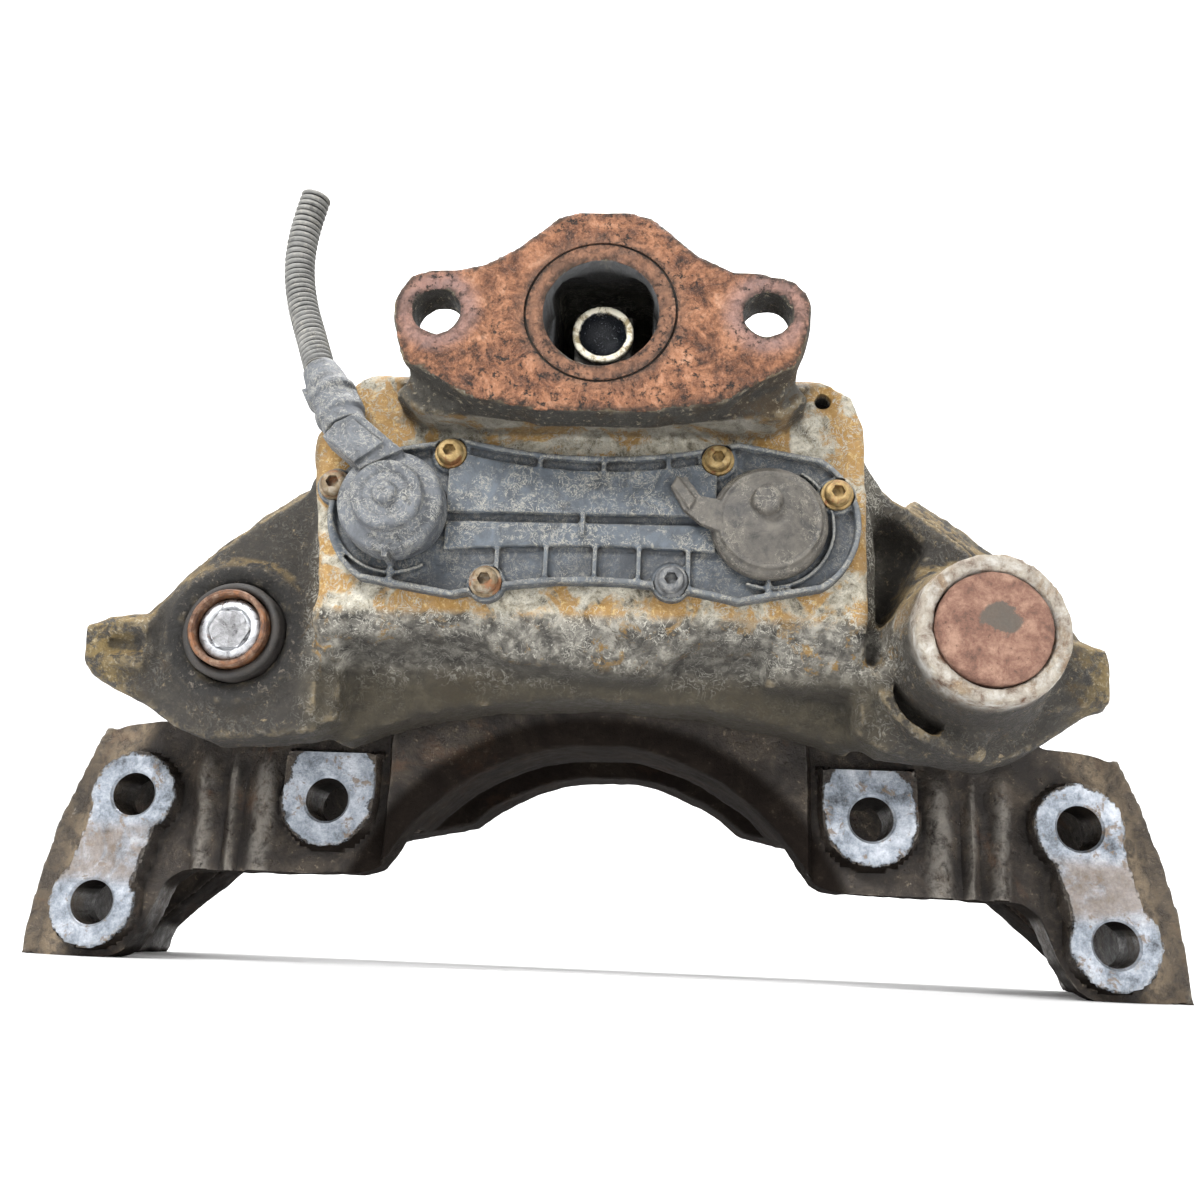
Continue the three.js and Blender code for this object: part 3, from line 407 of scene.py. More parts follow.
def carrier_material():
    s = Shade("oily_carrier")
    side = s.math("ABSOLUTE", s.x)
    fine = s.noise(700, 6, 0.75)
    middle = s.noise(170, 8, 0.74, 0.4)
    blotch = s.noise(60, 7, 0.7, 0.8)
    flecks = s.step(s.noise(420, 7, 0.8, 0.4), 0.57, 0.63)
    s.skin = s.ramp(blotch, [
        (0.3, (0.008, 0.006, 0.005)), (0.5, (0.03, 0.023, 0.018)), (0.72, (0.085, 0.066, 0.048)),
    ])
    rusty = s.step(s.noise(30, 6, 0.7, 0.6), 0.55, 0.66)
    s.coat(s.mix(fine, (0.05, 0.024, 0.013), (0.16, 0.085, 0.045)), rusty, 0.6)
    s.coat((0.25, 0.2, 0.14), flecks, s.step(blotch, 0.46, 0.6, 0.05, 0.75))
    # tan scale on the ears outside the bolt faces
    ear = s.both(s.span(s.y, 16, 9), s.span(away(s, 0, AXIS_Z), 208, 218))
    scale = s.mix(fine, (0.14, 0.095, 0.055), (0.38, 0.3, 0.2))
    s.coat(scale, ear, s.step(middle, 0.42, 0.58, 0.2, 0.8))
    # lighter crests of the web's ridges, a painted highlight with some wear, and painted shade on the
    # underside and inside the arch
    crest = s.both(s.span(s.y, 5.5, 2), s.span(side, 128, 131), s.span(side, 170, 166))
    s.coat((0.27, 0.25, 0.22), crest, s.step(middle, 0.38, 0.6, 0.0, 0.6))
    painted_shade_zone = s.either(s.step(s.nz, -0.3, -0.75), s.span(away(s, 0, AXIS_Z), 113, 106))
    s.coat((0.008, 0.006, 0.005), painted_shade_zone, 0.85)
    # machined faces round the mounting holes, with ragged edges
    shift = s.ragged(s.noise(130, 8, 0.8), 0.011)
    pad = 0.0
    for x, z, r in (
        (*OUTER_HOLES[0], 17.4), (*OUTER_HOLES[1], 17.6), (*INNER_HOLE, 18.4),
        (195, 50, 14.5), (197, 43, 14), (199, 35, 14.5), (108, 72, 18),
    ):
        pad = s.either(pad, s.span(s.add(away(s, x, z, side), shift), r, r - 0.7))
    pad = s.both(pad, s.span(s.y, 1.3, 0.8))
    silver = s.ramp(s.noise(75, 9, 0.8), [
        (0.36, (0.07, 0.075, 0.085)), (0.47, (0.24, 0.27, 0.31)),
        (0.56, (0.4, 0.43, 0.48)), (0.66, (0.6, 0.63, 0.67)),
    ])
    waist = s.both(s.span(side, 170, 180), s.span(s.z, 26, 34), s.span(s.z, 56, 48))
    stain = s.either(s.step(middle, 0.56, 0.62), s.both(waist, s.step(blotch, 0.4, 0.56, 0.3, 0.85)))
    silver = s.mix(s.both(stain, 0.8), silver, s.mix(fine, (0.06, 0.04, 0.028), (0.34, 0.25, 0.17)))
    s.coat(silver, pad)
    # painted highlight with wear: convex edges are lighter, except in the painted shade
    edge = s.without(s.both(s.pointy(0.52, 0.57), s.step(fine, 0.42, 0.56)), painted_shade_zone)
    s.coat((0.26, 0.235, 0.2), edge, 0.5)
    # painted shade with crevice dirt: concave creases are darker
    s.coat((0.008, 0.006, 0.005), s.pointy(0.49, 0.44), 0.7)
    rough = s.level(pad, s.step(middle, 0.35, 0.65, 0.26, 0.6), s.step(middle, 0.35, 0.65, 0.28, 0.5))
    # the painted shade is rough, not metallic and has little specular, so it shows no shine
    rough = s.level(painted_shade_zone, rough, 0.95)
    metal = s.without(s.level(pad, 0.3, 0.7), painted_shade_zone)
    s.feed(s.bsdf.inputs["Specular IOR Level"], s.level(painted_shade_zone, 0.5, 0.05))
    height = s.add(s.times(fine, 0.35), s.times(middle, 0.8))
    height = s.level(pad, height, s.times(height, 0.35))
    return s.finish(rough, metal, height, 0.0018, 0.8)


def plastic_material(name, dark, light, dust, dusty, floor_y=None):
    """Moulded plastic under dust; what lies deeper than floor_y is dark."""
    s = Shade(name)
    fine = s.noise(1100, 5, 0.75)
    blotch = s.noise(110, 8, 0.72, 0.7)
    grime_and_painted_shade = s.noise(48, 7, 0.72, 0.6)
    s.skin = s.ramp(blotch, [(0.34, dark), (0.64, light)])
    s.coat((0.018, 0.019, 0.02), s.step(grime_and_painted_shade, 0.56, 0.66), 0.7)
    worms = s.veins(s.noise(280, 5, 0.65, 1.2), 0.024, 0.006)
    streaks = s.either(worms, s.step(s.noise(380, 7, 0.8), 0.54, 0.62, 0.0, 0.7))
    powder = s.both(s.step(s.noise(60, 8, 0.75, 0.5), 0.58 - 0.2 * dusty, 0.68 - 0.2 * dusty), streaks)
    s.coat(dust, powder, 0.8)
    if floor_y is not None:
        sunk = s.both(s.span(s.y, floor_y - 0.6, floor_y), s.step(grime_and_painted_shade, 0.34, 0.56, 0.85, 0.4))
        s.coat((0.016, 0.019, 0.024), sunk)
    scratch = s.veins(s.noise(160, 3, 0.5, 2.5), 0.01, 0.003)
    s.coat(light, scratch, 0.4)
    # painted highlight with scuffing: convex edges take the dust colour
    s.coat(dust, s.pointy(0.52, 0.6), 0.55)
    # painted shade with crevice dirt: concave creases are darker
    s.coat((0.012, 0.01, 0.008), s.pointy(0.49, 0.44), 0.85)
    rough = s.step(blotch, 0.3, 0.7, 0.36, 0.72)
    return s.finish(rough, 0.0, s.add(fine, blotch), 0.0005, 0.65)


def metal_material(name, dark, middle, light, metal, rough, rust=0.0, scale=140):
    s = Shade(name)
    fine = s.noise(1300, 5, 0.7)
    blotch = s.noise(scale, 7, 0.7, 0.6)
    s.skin = s.ramp(blotch, [(0.3, dark), (0.5, middle), (0.7, light)])
    if rust:
        spots = s.step(s.noise(scale * 0.6, 7, 0.75, 0.8), 0.62 - 0.2 * rust, 0.72 - 0.2 * rust)
        s.coat(s.mix(fine, (0.1, 0.035, 0.015), (0.3, 0.13, 0.05)), spots, 0.85)
    # painted shade with crevice dirt: concave creases are darker
    s.coat((0.02, 0.014, 0.01), s.pointy(0.48, 0.42), 0.7)
    shine = s.step(blotch, 0.3, 0.7, max(rough - 0.14, 0.08), min(rough + 0.16, 1.0))
    return s.finish(shine, metal, s.add(fine, blotch), 0.0005, 0.5)


def lever_material():
    """Forged steel with a pale, worn rim round the greasy ball socket."""
    s = Shade("forged_lever_steel")
    fine = s.noise(900, 6, 0.75)
    blotch = s.noise(190, 8, 0.74, 0.4)
    s.skin = s.ramp(blotch, [
        (0.34, (0.02, 0.018, 0.016)), (0.5, (0.07, 0.064, 0.056)), (0.68, (0.2, 0.19, 0.17)),
    ])
    shift = s.ragged(s.noise(240, 7, 0.8), 0.003)
    from_axis = s.add(away(s, 0, FLANGE_Z), shift)
    cup = s.span(s.y, -75, -77)
    rim = s.mix(s.step(blotch, 0.42, 0.54), (0.24, 0.19, 0.1), (0.72, 0.68, 0.56))
    s.coat(rim, cup, s.span(from_axis, 8.4, 9.4))
    socket = s.both(s.span(from_axis, 9.4, 8.6), s.span(s.y, -66, -68))
    grease = s.mix(s.step(fine, 0.6, 0.68), (0.012, 0.014, 0.018), (0.34, 0.36, 0.38))
    s.coat(grease, socket)
    rough = s.level(socket, s.step(blotch, 0.3, 0.7, 0.4, 0.7), 0.16)
    return s.finish(rough, 0.4, s.add(fine, blotch), 0.0006, 0.6)


def rubber_material():
    s = Shade("aged_rubber")
    fine = s.noise(1500, 4, 0.7)
    blotch = s.noise(110, 6, 0.7)
    s.skin = s.ramp(blotch, [(0.35, (0.007, 0.006, 0.006)), (0.65, (0.035, 0.03, 0.026))])
    s.coat((0.13, 0.1, 0.07), s.step(fine, 0.55, 0.7), 0.4)
    rough = s.step(blotch, 0.3, 0.7, 0.45, 0.8)
    return s.finish(rough, 0.0, s.add(fine, blotch), 0.0004, 0.6)


def lining_material():
    s = Shade("friction_lining")
    grain = s.cells(900)
    blotch = s.noise(220, 6, 0.7)
    s.skin = s.ramp(blotch, [(0.3, (0.025, 0.022, 0.02)), (0.6, (0.09, 0.08, 0.07))])
    s.coat((0.27, 0.2, 0.12), s.step(grain, 0.25, 0.1))
    rough = s.step(blotch, 0.3, 0.7, 0.75, 0.95)
    return s.finish(rough, 0.1, s.add(grain, blotch), 0.0006, 0.7)


def cap_material():
    """Pressed cap: pink-brown rust with one dark patch."""
    s = Shade("pressed_cap_rust")
    fine = s.noise(1000, 6, 0.75)
    blotch = s.noise(150, 9, 0.8, 0.2)
    s.skin = s.ramp(blotch, [
        (0.34, (0.075, 0.036, 0.025)), (0.48, (0.19, 0.096, 0.066)), (0.64, (0.35, 0.215, 0.155)),
    ])
    shift = s.ragged(s.noise(170, 7, 0.8), 0.012)
    dx = s.minus(s.add(s.x, shift), 0.1405)
    dz = s.minus(s.add(s.z, shift), 0.1255)
    flattened = s.times(dz, s.times(dz, 1.3))
    from_patch = s.math("SQRT", s.add(s.times(dx, dx), flattened))
    patch = s.span(from_patch, 7.4, 6.2)
    s.coat(s.mix(fine, (0.045, 0.042, 0.036), (0.12, 0.11, 0.09)), patch, 0.88)
    pits = s.step(s.noise(500, 5, 0.75), 0.6, 0.7)
    s.coat((0.05, 0.02, 0.012), pits, 0.7)
    rough = s.step(blotch, 0.3, 0.7, 0.6, 0.9)
    return s.finish(rough, 0.2, s.add(fine, blotch), 0.0009, 0.7)


def floor_material():
    s = Shade("pale_floor")
    soft = s.noise(3, 4, 0.5)
    s.skin = s.mix(soft, (0.9, 0.9, 0.9), (0.93, 0.93, 0.93))
    return s.finish(0.7, 0.0)


HOUSING = housing_material()
CARRIER = carrier_material()
COVER = plastic_material(
    "dusty_cover_plastic", (0.022, 0.028, 0.035), (0.09, 0.107, 0.128), (0.34, 0.32, 0.265), 0.9, -66.8)
SENSOR = plastic_material(
    "sensor_plastic", (0.03, 0.034, 0.04), (0.13, 0.14, 0.155), (0.34, 0.33, 0.29), 0.75)
CAP_PLASTIC = plastic_material(
    "taupe_cap_plastic", (0.022, 0.02, 0.018), (0.115, 0.104, 0.088), (0.24, 0.22, 0.18), 0.6)
CONDUIT = plastic_material(
    "conduit_plastic", (0.08, 0.08, 0.078), (0.22, 0.22, 0.21), (0.36, 0.34, 0.29), 0.6)
GROOVE = plastic_material(
    "conduit_grooves", (0.012, 0.012, 0.012), (0.045, 0.044, 0.042), (0.09, 0.085, 0.075), 0.3)
ZINC = metal_material(
    "yellow_zinc", (0.07, 0.045, 0.02), (0.32, 0.22, 0.09), (0.5, 0.4, 0.22), 0.6, 0.5, 0.5, 260)
OLD_ZINC = metal_material(
    "worn_zinc", (0.05, 0.035, 0.02), (0.2, 0.15, 0.09), (0.36, 0.33, 0.28), 0.5, 0.55, 0.6, 260)
DULL = metal_material(
    "grey_screw", (0.03, 0.03, 0.032), (0.12, 0.125, 0.13), (0.3, 0.29, 0.27), 0.4, 0.6, 0.1, 260)
BRIGHT = metal_material(
    "bright_screw_steel", (0.16, 0.16, 0.17), (0.46, 0.47, 0.49), (0.75, 0.76, 0.78), 0.85, 0.36, 0.12, 230)
RUSTY = metal_material(
    "rusty_ring", (0.03, 0.014, 0.008), (0.11, 0.052, 0.028), (0.34, 0.24, 0.17), 0.35, 0.55, 0.6, 260)
STEEL = metal_material(
    "oiled_steel", (0.05, 0.05, 0.052), (0.17, 0.17, 0.175), (0.34, 0.34, 0.35), 0.8, 0.4, 0.25)
BRASS = metal_material(
    "bearing_bronze", (0.13, 0.07, 0.02), (0.36, 0.21, 0.07), (0.55, 0.38, 0.16), 0.85, 0.38)
RUBBER = rubber_material()
LEVER = lever_material()
LINING = lining_material()
CAP = cap_material()
floor.data.materials.append(floor_material())


# ---------- mesh tools ----------
def raw_prism(bm, outline, y0, y1):
    """Outline in X and Z, from y0 to y1."""
    front = [bm.verts.new(at(x, y0, z)) for x, z in outline]
    back = [bm.verts.new(at(x, y1, z)) for x, z in outline]
    bm.faces.new(front)
    bm.faces.new(back[::-1])
    for i in range(len(outline)):
        j = (i + 1) % len(outline)
        bm.faces.new((front[j], front[i], back[i], back[j]))


def raw_box(bm, x0, x1, y0, y1, z0, z1):
    raw_prism(bm, [(x0, z0), (x1, z0), (x1, z1), (x0, z1)], y0, y1)


def raw_frame(bm, outer, inner, y0, y1):
    """Closed band between two outlines with the same number of points."""
    loops = [[bm.verts.new(at(x, y, z)) for x, z in line] for line, y in
             ((outer, y0), (outer, y1), (inner, y1), (inner, y0))]
    count = len(outer)
    for a, b in zip(loops, loops[1:] + loops[:1]):
        for i in range(count):
            j = (i + 1) % count
            bm.faces.new((a[i], a[j], b[j], b[i]))


def raw_hull(bm, points):
    made = [bm.verts.new(at(*p)) for p in points]
    result = bmesh.ops.convex_hull(bm, input=made)
    spare = [v for v in result["geom_interior"] if isinstance(v, bmesh.types.BMVert)]
    bmesh.ops.delete(bm, geom=spare, context="VERTS")


def raw_turned(bm, profile, x, z, steps, wobble=None):
    """Profile of (radius, y) turned about the line along Y through (x, z)."""
    rings = []
    for r, y in profile:
        if r < 1e-6:
            rings.append([bm.verts.new(at(x, y, z))])
            continue
        ring = []
        for i in range(steps):
            a = 2 * math.pi * i / steps
            rr, yy = wobble(r, y, a) if wobble else (r, y)
            ring.append(bm.verts.new(at(x + rr * math.cos(a), yy, z + rr * math.sin(a))))
        rings.append(ring)
    closed = profile[0][0] > 1e-6
    for a, b in zip(rings, rings[1:] + (rings[:1] if closed else [])):
        for i in range(steps):
            j = (i + 1) % steps
            corners = []
            for v in (a[i % len(a)], a[j % len(a)], b[j % len(b)], b[i % len(b)]):
                if v not in corners:
                    corners.append(v)
            if len(corners) > 2:
                bm.faces.new(corners)


def raw_hexagon(bm, x, z, flats, y0, y1):
    r = flats / math.sqrt(3)
    corners = [math.radians(60 * i) for i in range(6)]
    raw_prism(bm, [(x + r * math.cos(a), z + r * math.sin(a)) for a in corners], y0, y1)


def smooth_line(points, per_span):
    """Points on a smooth curve through the given ones."""
    given = [Vector(p) for p in points]
    given = [2 * given[0] - given[1]] + given + [2 * given[-1] - given[-2]]
    line = []
    for a, b, c, d in zip(given, given[1:], given[2:], given[3:]):
        for i in range(per_span):
            t = i / per_span
            square = (2 * a - 5 * b + 4 * c - d) * t**2
            cube = (3 * b - a - 3 * c + d) * t**3
            line.append(0.5 * (2 * b + (c - a) * t + square + cube))
    line.append(given[-2])
    return line


MOUTH_DEPTH = 3


def raw_swept(bm, line, radius, sides, mouth=0.0):
    """Tube along a line; radius is a function of the distance from its start.

    A mouth is the radius of a blind hole in its far end.
    """
    rings = []
    travelled = 0
    side = None
    for i, p in enumerate(line):
        ahead = (line[min(i + 1, len(line) - 1)] - line[max(i - 1, 0)]).normalized()
        side = ahead.orthogonal() if side is None else side - ahead * side.dot(ahead)
        side.normalize()
        other = ahead.cross(side)
        if i:
            travelled += (p - line[i - 1]).length
        rings.append((p, side.copy(), other, radius(travelled), ahead))
    if mouth:
        p, side, other, _, ahead = rings[-1]
        rings.append((p, side, other, mouth, ahead))
        rings.append((p - ahead * MOUTH_DEPTH, side, other, mouth, ahead))
    loops = []
    for p, side, other, r, _ in rings:
        loop = []
        for i in range(sides):
            a = 2 * math.pi * i / sides
            loop.append(bm.verts.new(at(*(p + (side * math.cos(a) + other * math.sin(a)) * r))))
        loops.append(loop)
    for a, b in zip(loops, loops[1:]):
        for i in range(sides):
            j = (i + 1) % sides
            bm.faces.new((a[i], a[j], b[j], b[i]))
    bm.faces.new(loops[0][::-1])
    bm.faces.new(loops[-1])


def raw_copy(bm, node):
    bm.from_mesh(nodes[node].data)


def baked(obj):
    depsgraph = bpy.context.evaluated_depsgraph_get()
    result = bpy.data.meshes.new_from_object(obj.evaluated_get(depsgraph))
    obj.modifiers.clear()
    old = obj.data
    obj.data = result
    bpy.data.meshes.remove(old)


def apply(obj, kind, **settings):
    modifier = obj.modifiers.new(kind.lower(), kind)
    for key, value in settings.items():
        setattr(modifier, key, value)
    baked(obj)


def crisp(obj, degrees):
    obj.data.shade_smooth()
    obj.data.set_sharp_from_angle(angle=math.radians(degrees))


def solid(name, build, material, degrees):
    """A piece from bmesh code; edges sharper than so many degrees stay crisp."""
    bm = bmesh.new()
    build(bm)
    bmesh.ops.recalc_face_normals(bm, faces=bm.faces)
    made = mesh_object(name, bm)
    made.data.materials.append(material)
    crisp(made, degrees)
    return made


def voxel(obj, size, rounds):
    """Joins overlapping shapes into one skin and rounds its edges a little."""
    apply(obj, "REMESH", mode="VOXEL", voxel_size=size / 1000, use_smooth_shade=True)
    apply(obj, "SMOOTH", factor=0.5, iterations=rounds)


def rough_skin(obj, amount, scales=((60, 1.0), (170, 0.5), (420, 0.3)), share=None):
    """Moves each point along its normal by layered noise of about so many millimetres."""
    mesh = obj.data
    normals = [v.normal.copy() for v in mesh.vertices]
    for v, n in zip(mesh.vertices, normals):
        part = share(v.co) if share else 1.0
        if part > 0:
            height = sum(weight * noise.noise(v.co * scale) for scale, weight in scales)
            v.co += n * (height * amount * part / 1000)
    mesh.update()


def moulding(name, build, material, size, rounds, amount, scales):
    """A small piece joined into one soft-edged skin with a slight unevenness."""
    made = solid(name, build, material, 180)
    voxel(made, size, rounds)
    rough_skin(made, amount, scales)
    return made


def drill(obj, build):
    """Cuts crisp holes with the shapes that build makes."""
    bm = bmesh.new()
    build(bm)
    bmesh.ops.recalc_face_normals(bm, faces=bm.faces)
    tool = mesh_object("tool", bm)
    modifier = obj.modifiers.new("cut", "BOOLEAN")
    modifier.operation = "DIFFERENCE"
    modifier.solver = "MANIFOLD"
    modifier.object = tool
    baked(obj)
    tool_mesh = tool.data
    bpy.data.objects.remove(tool)
    bpy.data.meshes.remove(tool_mesh)
    crisp(obj, 40)


def settle(obj, body, slot_name, *replaced):
    """Puts a piece on its body and hides the CAD nodes that it stands for; slot_name is not used."""
    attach(obj, body)
    if replaced:
        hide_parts(*replaced)
    return obj


def flex(obj, slot_name, bodies, start, end, replaced):
    """For a piece that stretches between two bodies."""
    tuple(at(*start))
    tuple(at(*end))
    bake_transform(obj)
    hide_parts(replaced)
    return obj


def arc(r, start, stop, steps, x=0, z=AXIS_Z):
    """Points on an arc about (x, z), between two angles in degrees."""
    angles = [math.radians(start + (stop - start) * i / steps) for i in range(steps + 1)]
    return [(x + r * math.cos(a), z + r * math.sin(a)) for a in angles]


def mirrored(points):
    return [(-x, z) for x, z in points][::-1]


def both_sides(bm, outline, y0, y1):
    raw_prism(bm, outline, y0, y1)
    raw_prism(bm, mirrored(outline), y0, y1)


def raw_hole(bm, x, z, r, y0, y1, lip=1.2):
    """Hole from y0 to y1 with a chamfered mouth at y0."""
    mouth = [(0, y0 - 2), (r + lip + 2, y0 - 2), (r + lip, y0), (r, y0 + lip)]
    raw_turned(bm, [*mouth, (r, y1), (0, y1)], x, z, 48)


def raw_round(bm, x, z, r, y0, y1, steps=64):
    raw_turned(bm, [(0, y0), (r, y0), (r, y1), (0, y1)], x, z, steps)


# ---------- carrier ----------
def smooth_share(value, low, high):
    t = min(max((value - low) / (high - low), 0), 1)
    return t * t * (3 - 2 * t)


def pad_share(x, z):
    """1 on the machined faces round the mounting holes, 0 off them."""
    x = abs(x)
    best = 0.0
    for hx, hz in OUTER_HOLES:
        best = max(best, 1 - smooth_share(math.hypot(x - hx, z - hz), 17.4, 18.6))
    (ax, az), (bx, bz) = OUTER_HOLES
    along = ((x - ax) * (bx - ax) + (z - az) * (bz - az)) / ((bx - ax) ** 2 + (bz - az) ** 2)
    if 0 < along < 1:
        off = math.hypot(x - ax - along * (bx - ax), z - az - along * (bz - az))
        best = max(best, 1 - smooth_share(off, 14, 15))
    best = max(best, 1 - smooth_share(math.hypot(x - INNER_HOLE[0], z - INNER_HOLE[1]), 19, 20.2))
    if 90 < x < 128 and 62 < z < 85:
        best = 1.0
    return best


def ear_front(x, z):
    """Depth of the ear plate's front behind the machined faces."""
    x = abs(x)
    depth = 7 + 0.45 * max(math.hypot(x, z - AXIS_Z) - 214, 0)
    ridges = max(
        high * math.exp(-((x - crest - lean * (z - 60)) / half) ** 2)
        for crest, half, high, lean in ((136.5, 5.5, 5.6, 0), (149.5, 2.6, 4.2, 0.04), (161, 4.6, 5, 0.06))
    )
    if 128 < x < 172:
        depth -= ridges * smooth_share(z, 30, 36) * (1 - smooth_share(z, 70, 95))
    return min(depth, 13) * (1 - pad_share(x, z))


def carrier_casting():
    def build(bm):
        raw_copy(bm, "carrier")
        # square shoulders above the inner bolt faces
        both_sides(bm, [(90, 62), (90, 83), (94, 86), (124, 86), (128, 83), (128, 62)], 0, 12)
        for side in (-1, 1):
            # facet that runs from the inner boss down to the arch
            raw_hull(bm, [
                (side * 88, 5, 84), (side * 88, 5, 52), (side * 66, 8, 76), (side * 80, 24, 84),
                (side * 80, 24, 54), (side * 68, 24, 74), (side * 72, 24, 84),
            ])
            # back plate's stiffening edge
            raw_prism(bm, [(side * x, z) for x, z in ((116, 60), (180, 45), (182, 51), (118, 68))], 127, 134)
        raw_prism(bm, arc(99, 52, 128, 28) + arc(107, 128, 52, 28), 124, 133.5)

    made = solid("carrier_casting", build, CARRIER, 180)
    voxel(made, 1.9, 3)
    mesh = made.data
    for v in mesh.vertices:
        x, y, z = place(v.co)
        if y < 14 and z < 98 and abs(x) > 86:
            v.co.y = max(v.co.y, row_y(ear_front(x, z)))
    mesh.update()

    def share(co):
        x, y, z = place(co)
        return 1 - pad_share(x, z) if y < 4 else 1.0

    rough_skin(made, 0.7, share=share)
    for v in mesh.vertices:
        x, y, z = place(v.co)
        v.co.z = max(v.co.z, 0)
        if y < 2 and pad_share(x, z) > 0.5:
            v.co.y = row_y(0)

    def holes(bm):
        for side in (-1, 1):
            for x, z in [*OUTER_HOLES, INNER_HOLE]:
                raw_hole(bm, side * x, z, 8.75, 0, 60, 0.9)
            raw_round(bm, side * PIN_X, PIN_Z, 8.4, -4, 60, 32)

    drill(made, holes)
    return settle(made, "carrier", "cast_carrier", "carrier")


# ---------- caliper housing ----------
def housing_casting():
    rim_turns = [math.radians(192 + 84 * i / 12) for i in range(13)]

    def build(bm):
        raw_copy(bm, "caliper_housing")
        # raised middle facet of the sloped underside, and lower ones at its ends
        raw_hull(bm, [
            (-53, -62, 129), (43, -62, 127), (-33, -51, 113), (22, -47, 109),
            (-54, -50, 128), (44, -50, 126), (-34, -34, 112), (23, -34, 108),
        ])
        raw_hull(bm, [
            (-106, -62, 129), (-101, -62, 129), (-103, -50, 112), (-97, -50, 112),
            (-106, -50, 126), (-99, -50, 126), (-103, -34, 112), (-93, -34, 111),
        ])
        raw_hull(bm, [
            (72, -62, 129), (99, -62, 129), (99, -50, 106), (64, -45, 108),
            (66, -50, 125), (99, -50, 125), (99, -34, 104), (62, -34, 108),
        ])
        # shoulders that run from the box to the ears
        for side in (-1, 1):
            inner = 98 if side > 0 else 104
            raw_hull(bm, [
                (side * inner, -54, 200), (side * inner, -50, 92), (side * (inner + 13), -42, 186),
                (side * (inner + 15), -42, 94), (side * inner, -20, 200), (side * (inner + 13), -20, 186),
                (side * inner, -20, 92), (side * (inner + 15), -20, 94),
            ])
        # thick rim under the long guide boss, and the boss's flared foot
        rim = [(PIN_X + 38 * math.cos(a), PIN_Z + 40.5 * math.sin(a)) for a in rim_turns]
        inside = [(PIN_X + 33 * math.cos(a), PIN_Z + 33 * math.sin(a)) for a in rim_turns]
        raw_prism(bm, rim + inside[::-1], -56, -30)
        raw_turned(bm, [(38, -40), (34, -47), (30, -58), (27.6, -72), (24, -72), (24, -38)], PIN_X, PIN_Z, 64)
        raw_turned(bm, [(31, -43), (27.5, -49), (22, -49), (22, -40)], -PIN_X, PIN_Z, 64)
        raw_turned(bm, [(20.5, -95), (29.5, -95), (29.5, -88), (20.5, -88)], 0, FLANGE_Z, 96)
        # raised ends of the lugs
        raw_hull(bm, [
            (-196, -49, 124), (-196, -49, 109), (-172, -51, 127), (-172, -51, 107),
            (-196, -40, 126), (-196, -40, 106), (-170, -40, 129), (-170, -40, 104),
        ])
        raw_hull(bm, [
            (188, -52, 124), (188, -52, 104), (166, -54, 127), (166, -54, 100),
            (188, -40, 126), (188, -40, 102), (164, -40, 129), (164, -40, 98),
        ])
        # flared seat under the flange
        raw_hull(bm, [
            (-73, -80, 212), (73, -80, 212), (-84, -60, 224), (84, -60, 224), (-60, -60, 203),
            (60, -60, 203), (-45, -80, 199), (45, -80, 199), (-84, -55, 226), (84, -55, 226),
        ])

    made = solid("housing_casting", build, HOUSING, 180)
    voxel(made, 1.9, 2)

    def hollows(bm):
        # pocket between the box and the long boss, and the groove round the boss's foot
        raw_hull(bm, [
            (103, -64, 126), (103, -64, 182), (113, -64, 180), (130, -64, 166), (116, -64, 150),
            (110, -64, 132), (106, -29, 132), (106, -29, 172), (113, -29, 172), (122, -29, 163),
            (114, -29, 150), (110, -29, 136),
        ])
        turns = [math.radians(194 + 74 * i / 18) for i in range(19)]
        widths = [5 * math.sin(math.pi * i / 18) ** 0.7 for i in range(19)]
        inner = [(PIN_X + 30.2 * math.cos(a), PIN_Z + 30.2 * math.sin(a)) for a in turns]
        radii = [30.3 + width for width in widths]
        outer = [(PIN_X + r * math.cos(a), PIN_Z + r * math.sin(a)) for a, r in zip(turns, radii)]
        raw_prism(bm, inner + outer[::-1], -66, -42)
        # dip in the face of the left lug
        raw_hull(bm, [
            (-190, -53, 121), (-190, -53, 112), (-170, -53, 122), (-170, -53, 111), (-187, -46, 119),
            (-187, -46, 114), (-173, -46, 119), (-173, -46, 113),
        ])

    drill(made, hollows)
    voxel(made, 1.9, 2)

    def share(co):
        x, y, z = place(co)
        if y < -93.5:
            return 0.35
        if y < -60 and 130 < z < 200 and abs(x) < 110:
            return 0.45
        return 1.0

    rough_skin(made, 0.8, share=share)
    for v in made.data.vertices:
        v.co.y = max(v.co.y, row_y(-95.2))

    def holes(bm):
        for x in (-STUD_X, STUD_X):
            raw_hole(bm, x, FLANGE_Z, 8.6, -95, -50, 0.8)
        # push-rod bore and seal groove
        raw_turned(bm, [(0, -99), (22, -99), (21.2, -94), (21.2, -74), (0, -74)], 0, FLANGE_Z, 96)
        raw_turned(bm, [(27.2, -99), (28.2, -99), (28.2, -94), (27.2, -94)], 0, FLANGE_Z, 96)
        raw_round(bm, 84, 216, 3.2, -66, -46, 24)
        # round ends of the adjuster chain's room
        for x in (-68, 68):
            raw_round(bm, x, 164, 20.6, -66, -49.4)
        # bores of the guide bosses
        raw_turned(bm, [(0, -53), (20.6, -53), (19.4, -47.5), (19.4, -4), (0, -4)], -PIN_X, PIN_Z, 64)
        raw_turned(bm, [(0, -92), (21.4, -92), (20.35, -85), (20.35, -4), (0, -4)], PIN_X, PIN_Z, 64)

    drill(made, holes)
    drill(made, lambda bm: raw_box(bm, -68, 68, -66, -49.4, 143.4, 184.6))
    return settle(made, "caliper", "cast_housing", "caliper_housing")


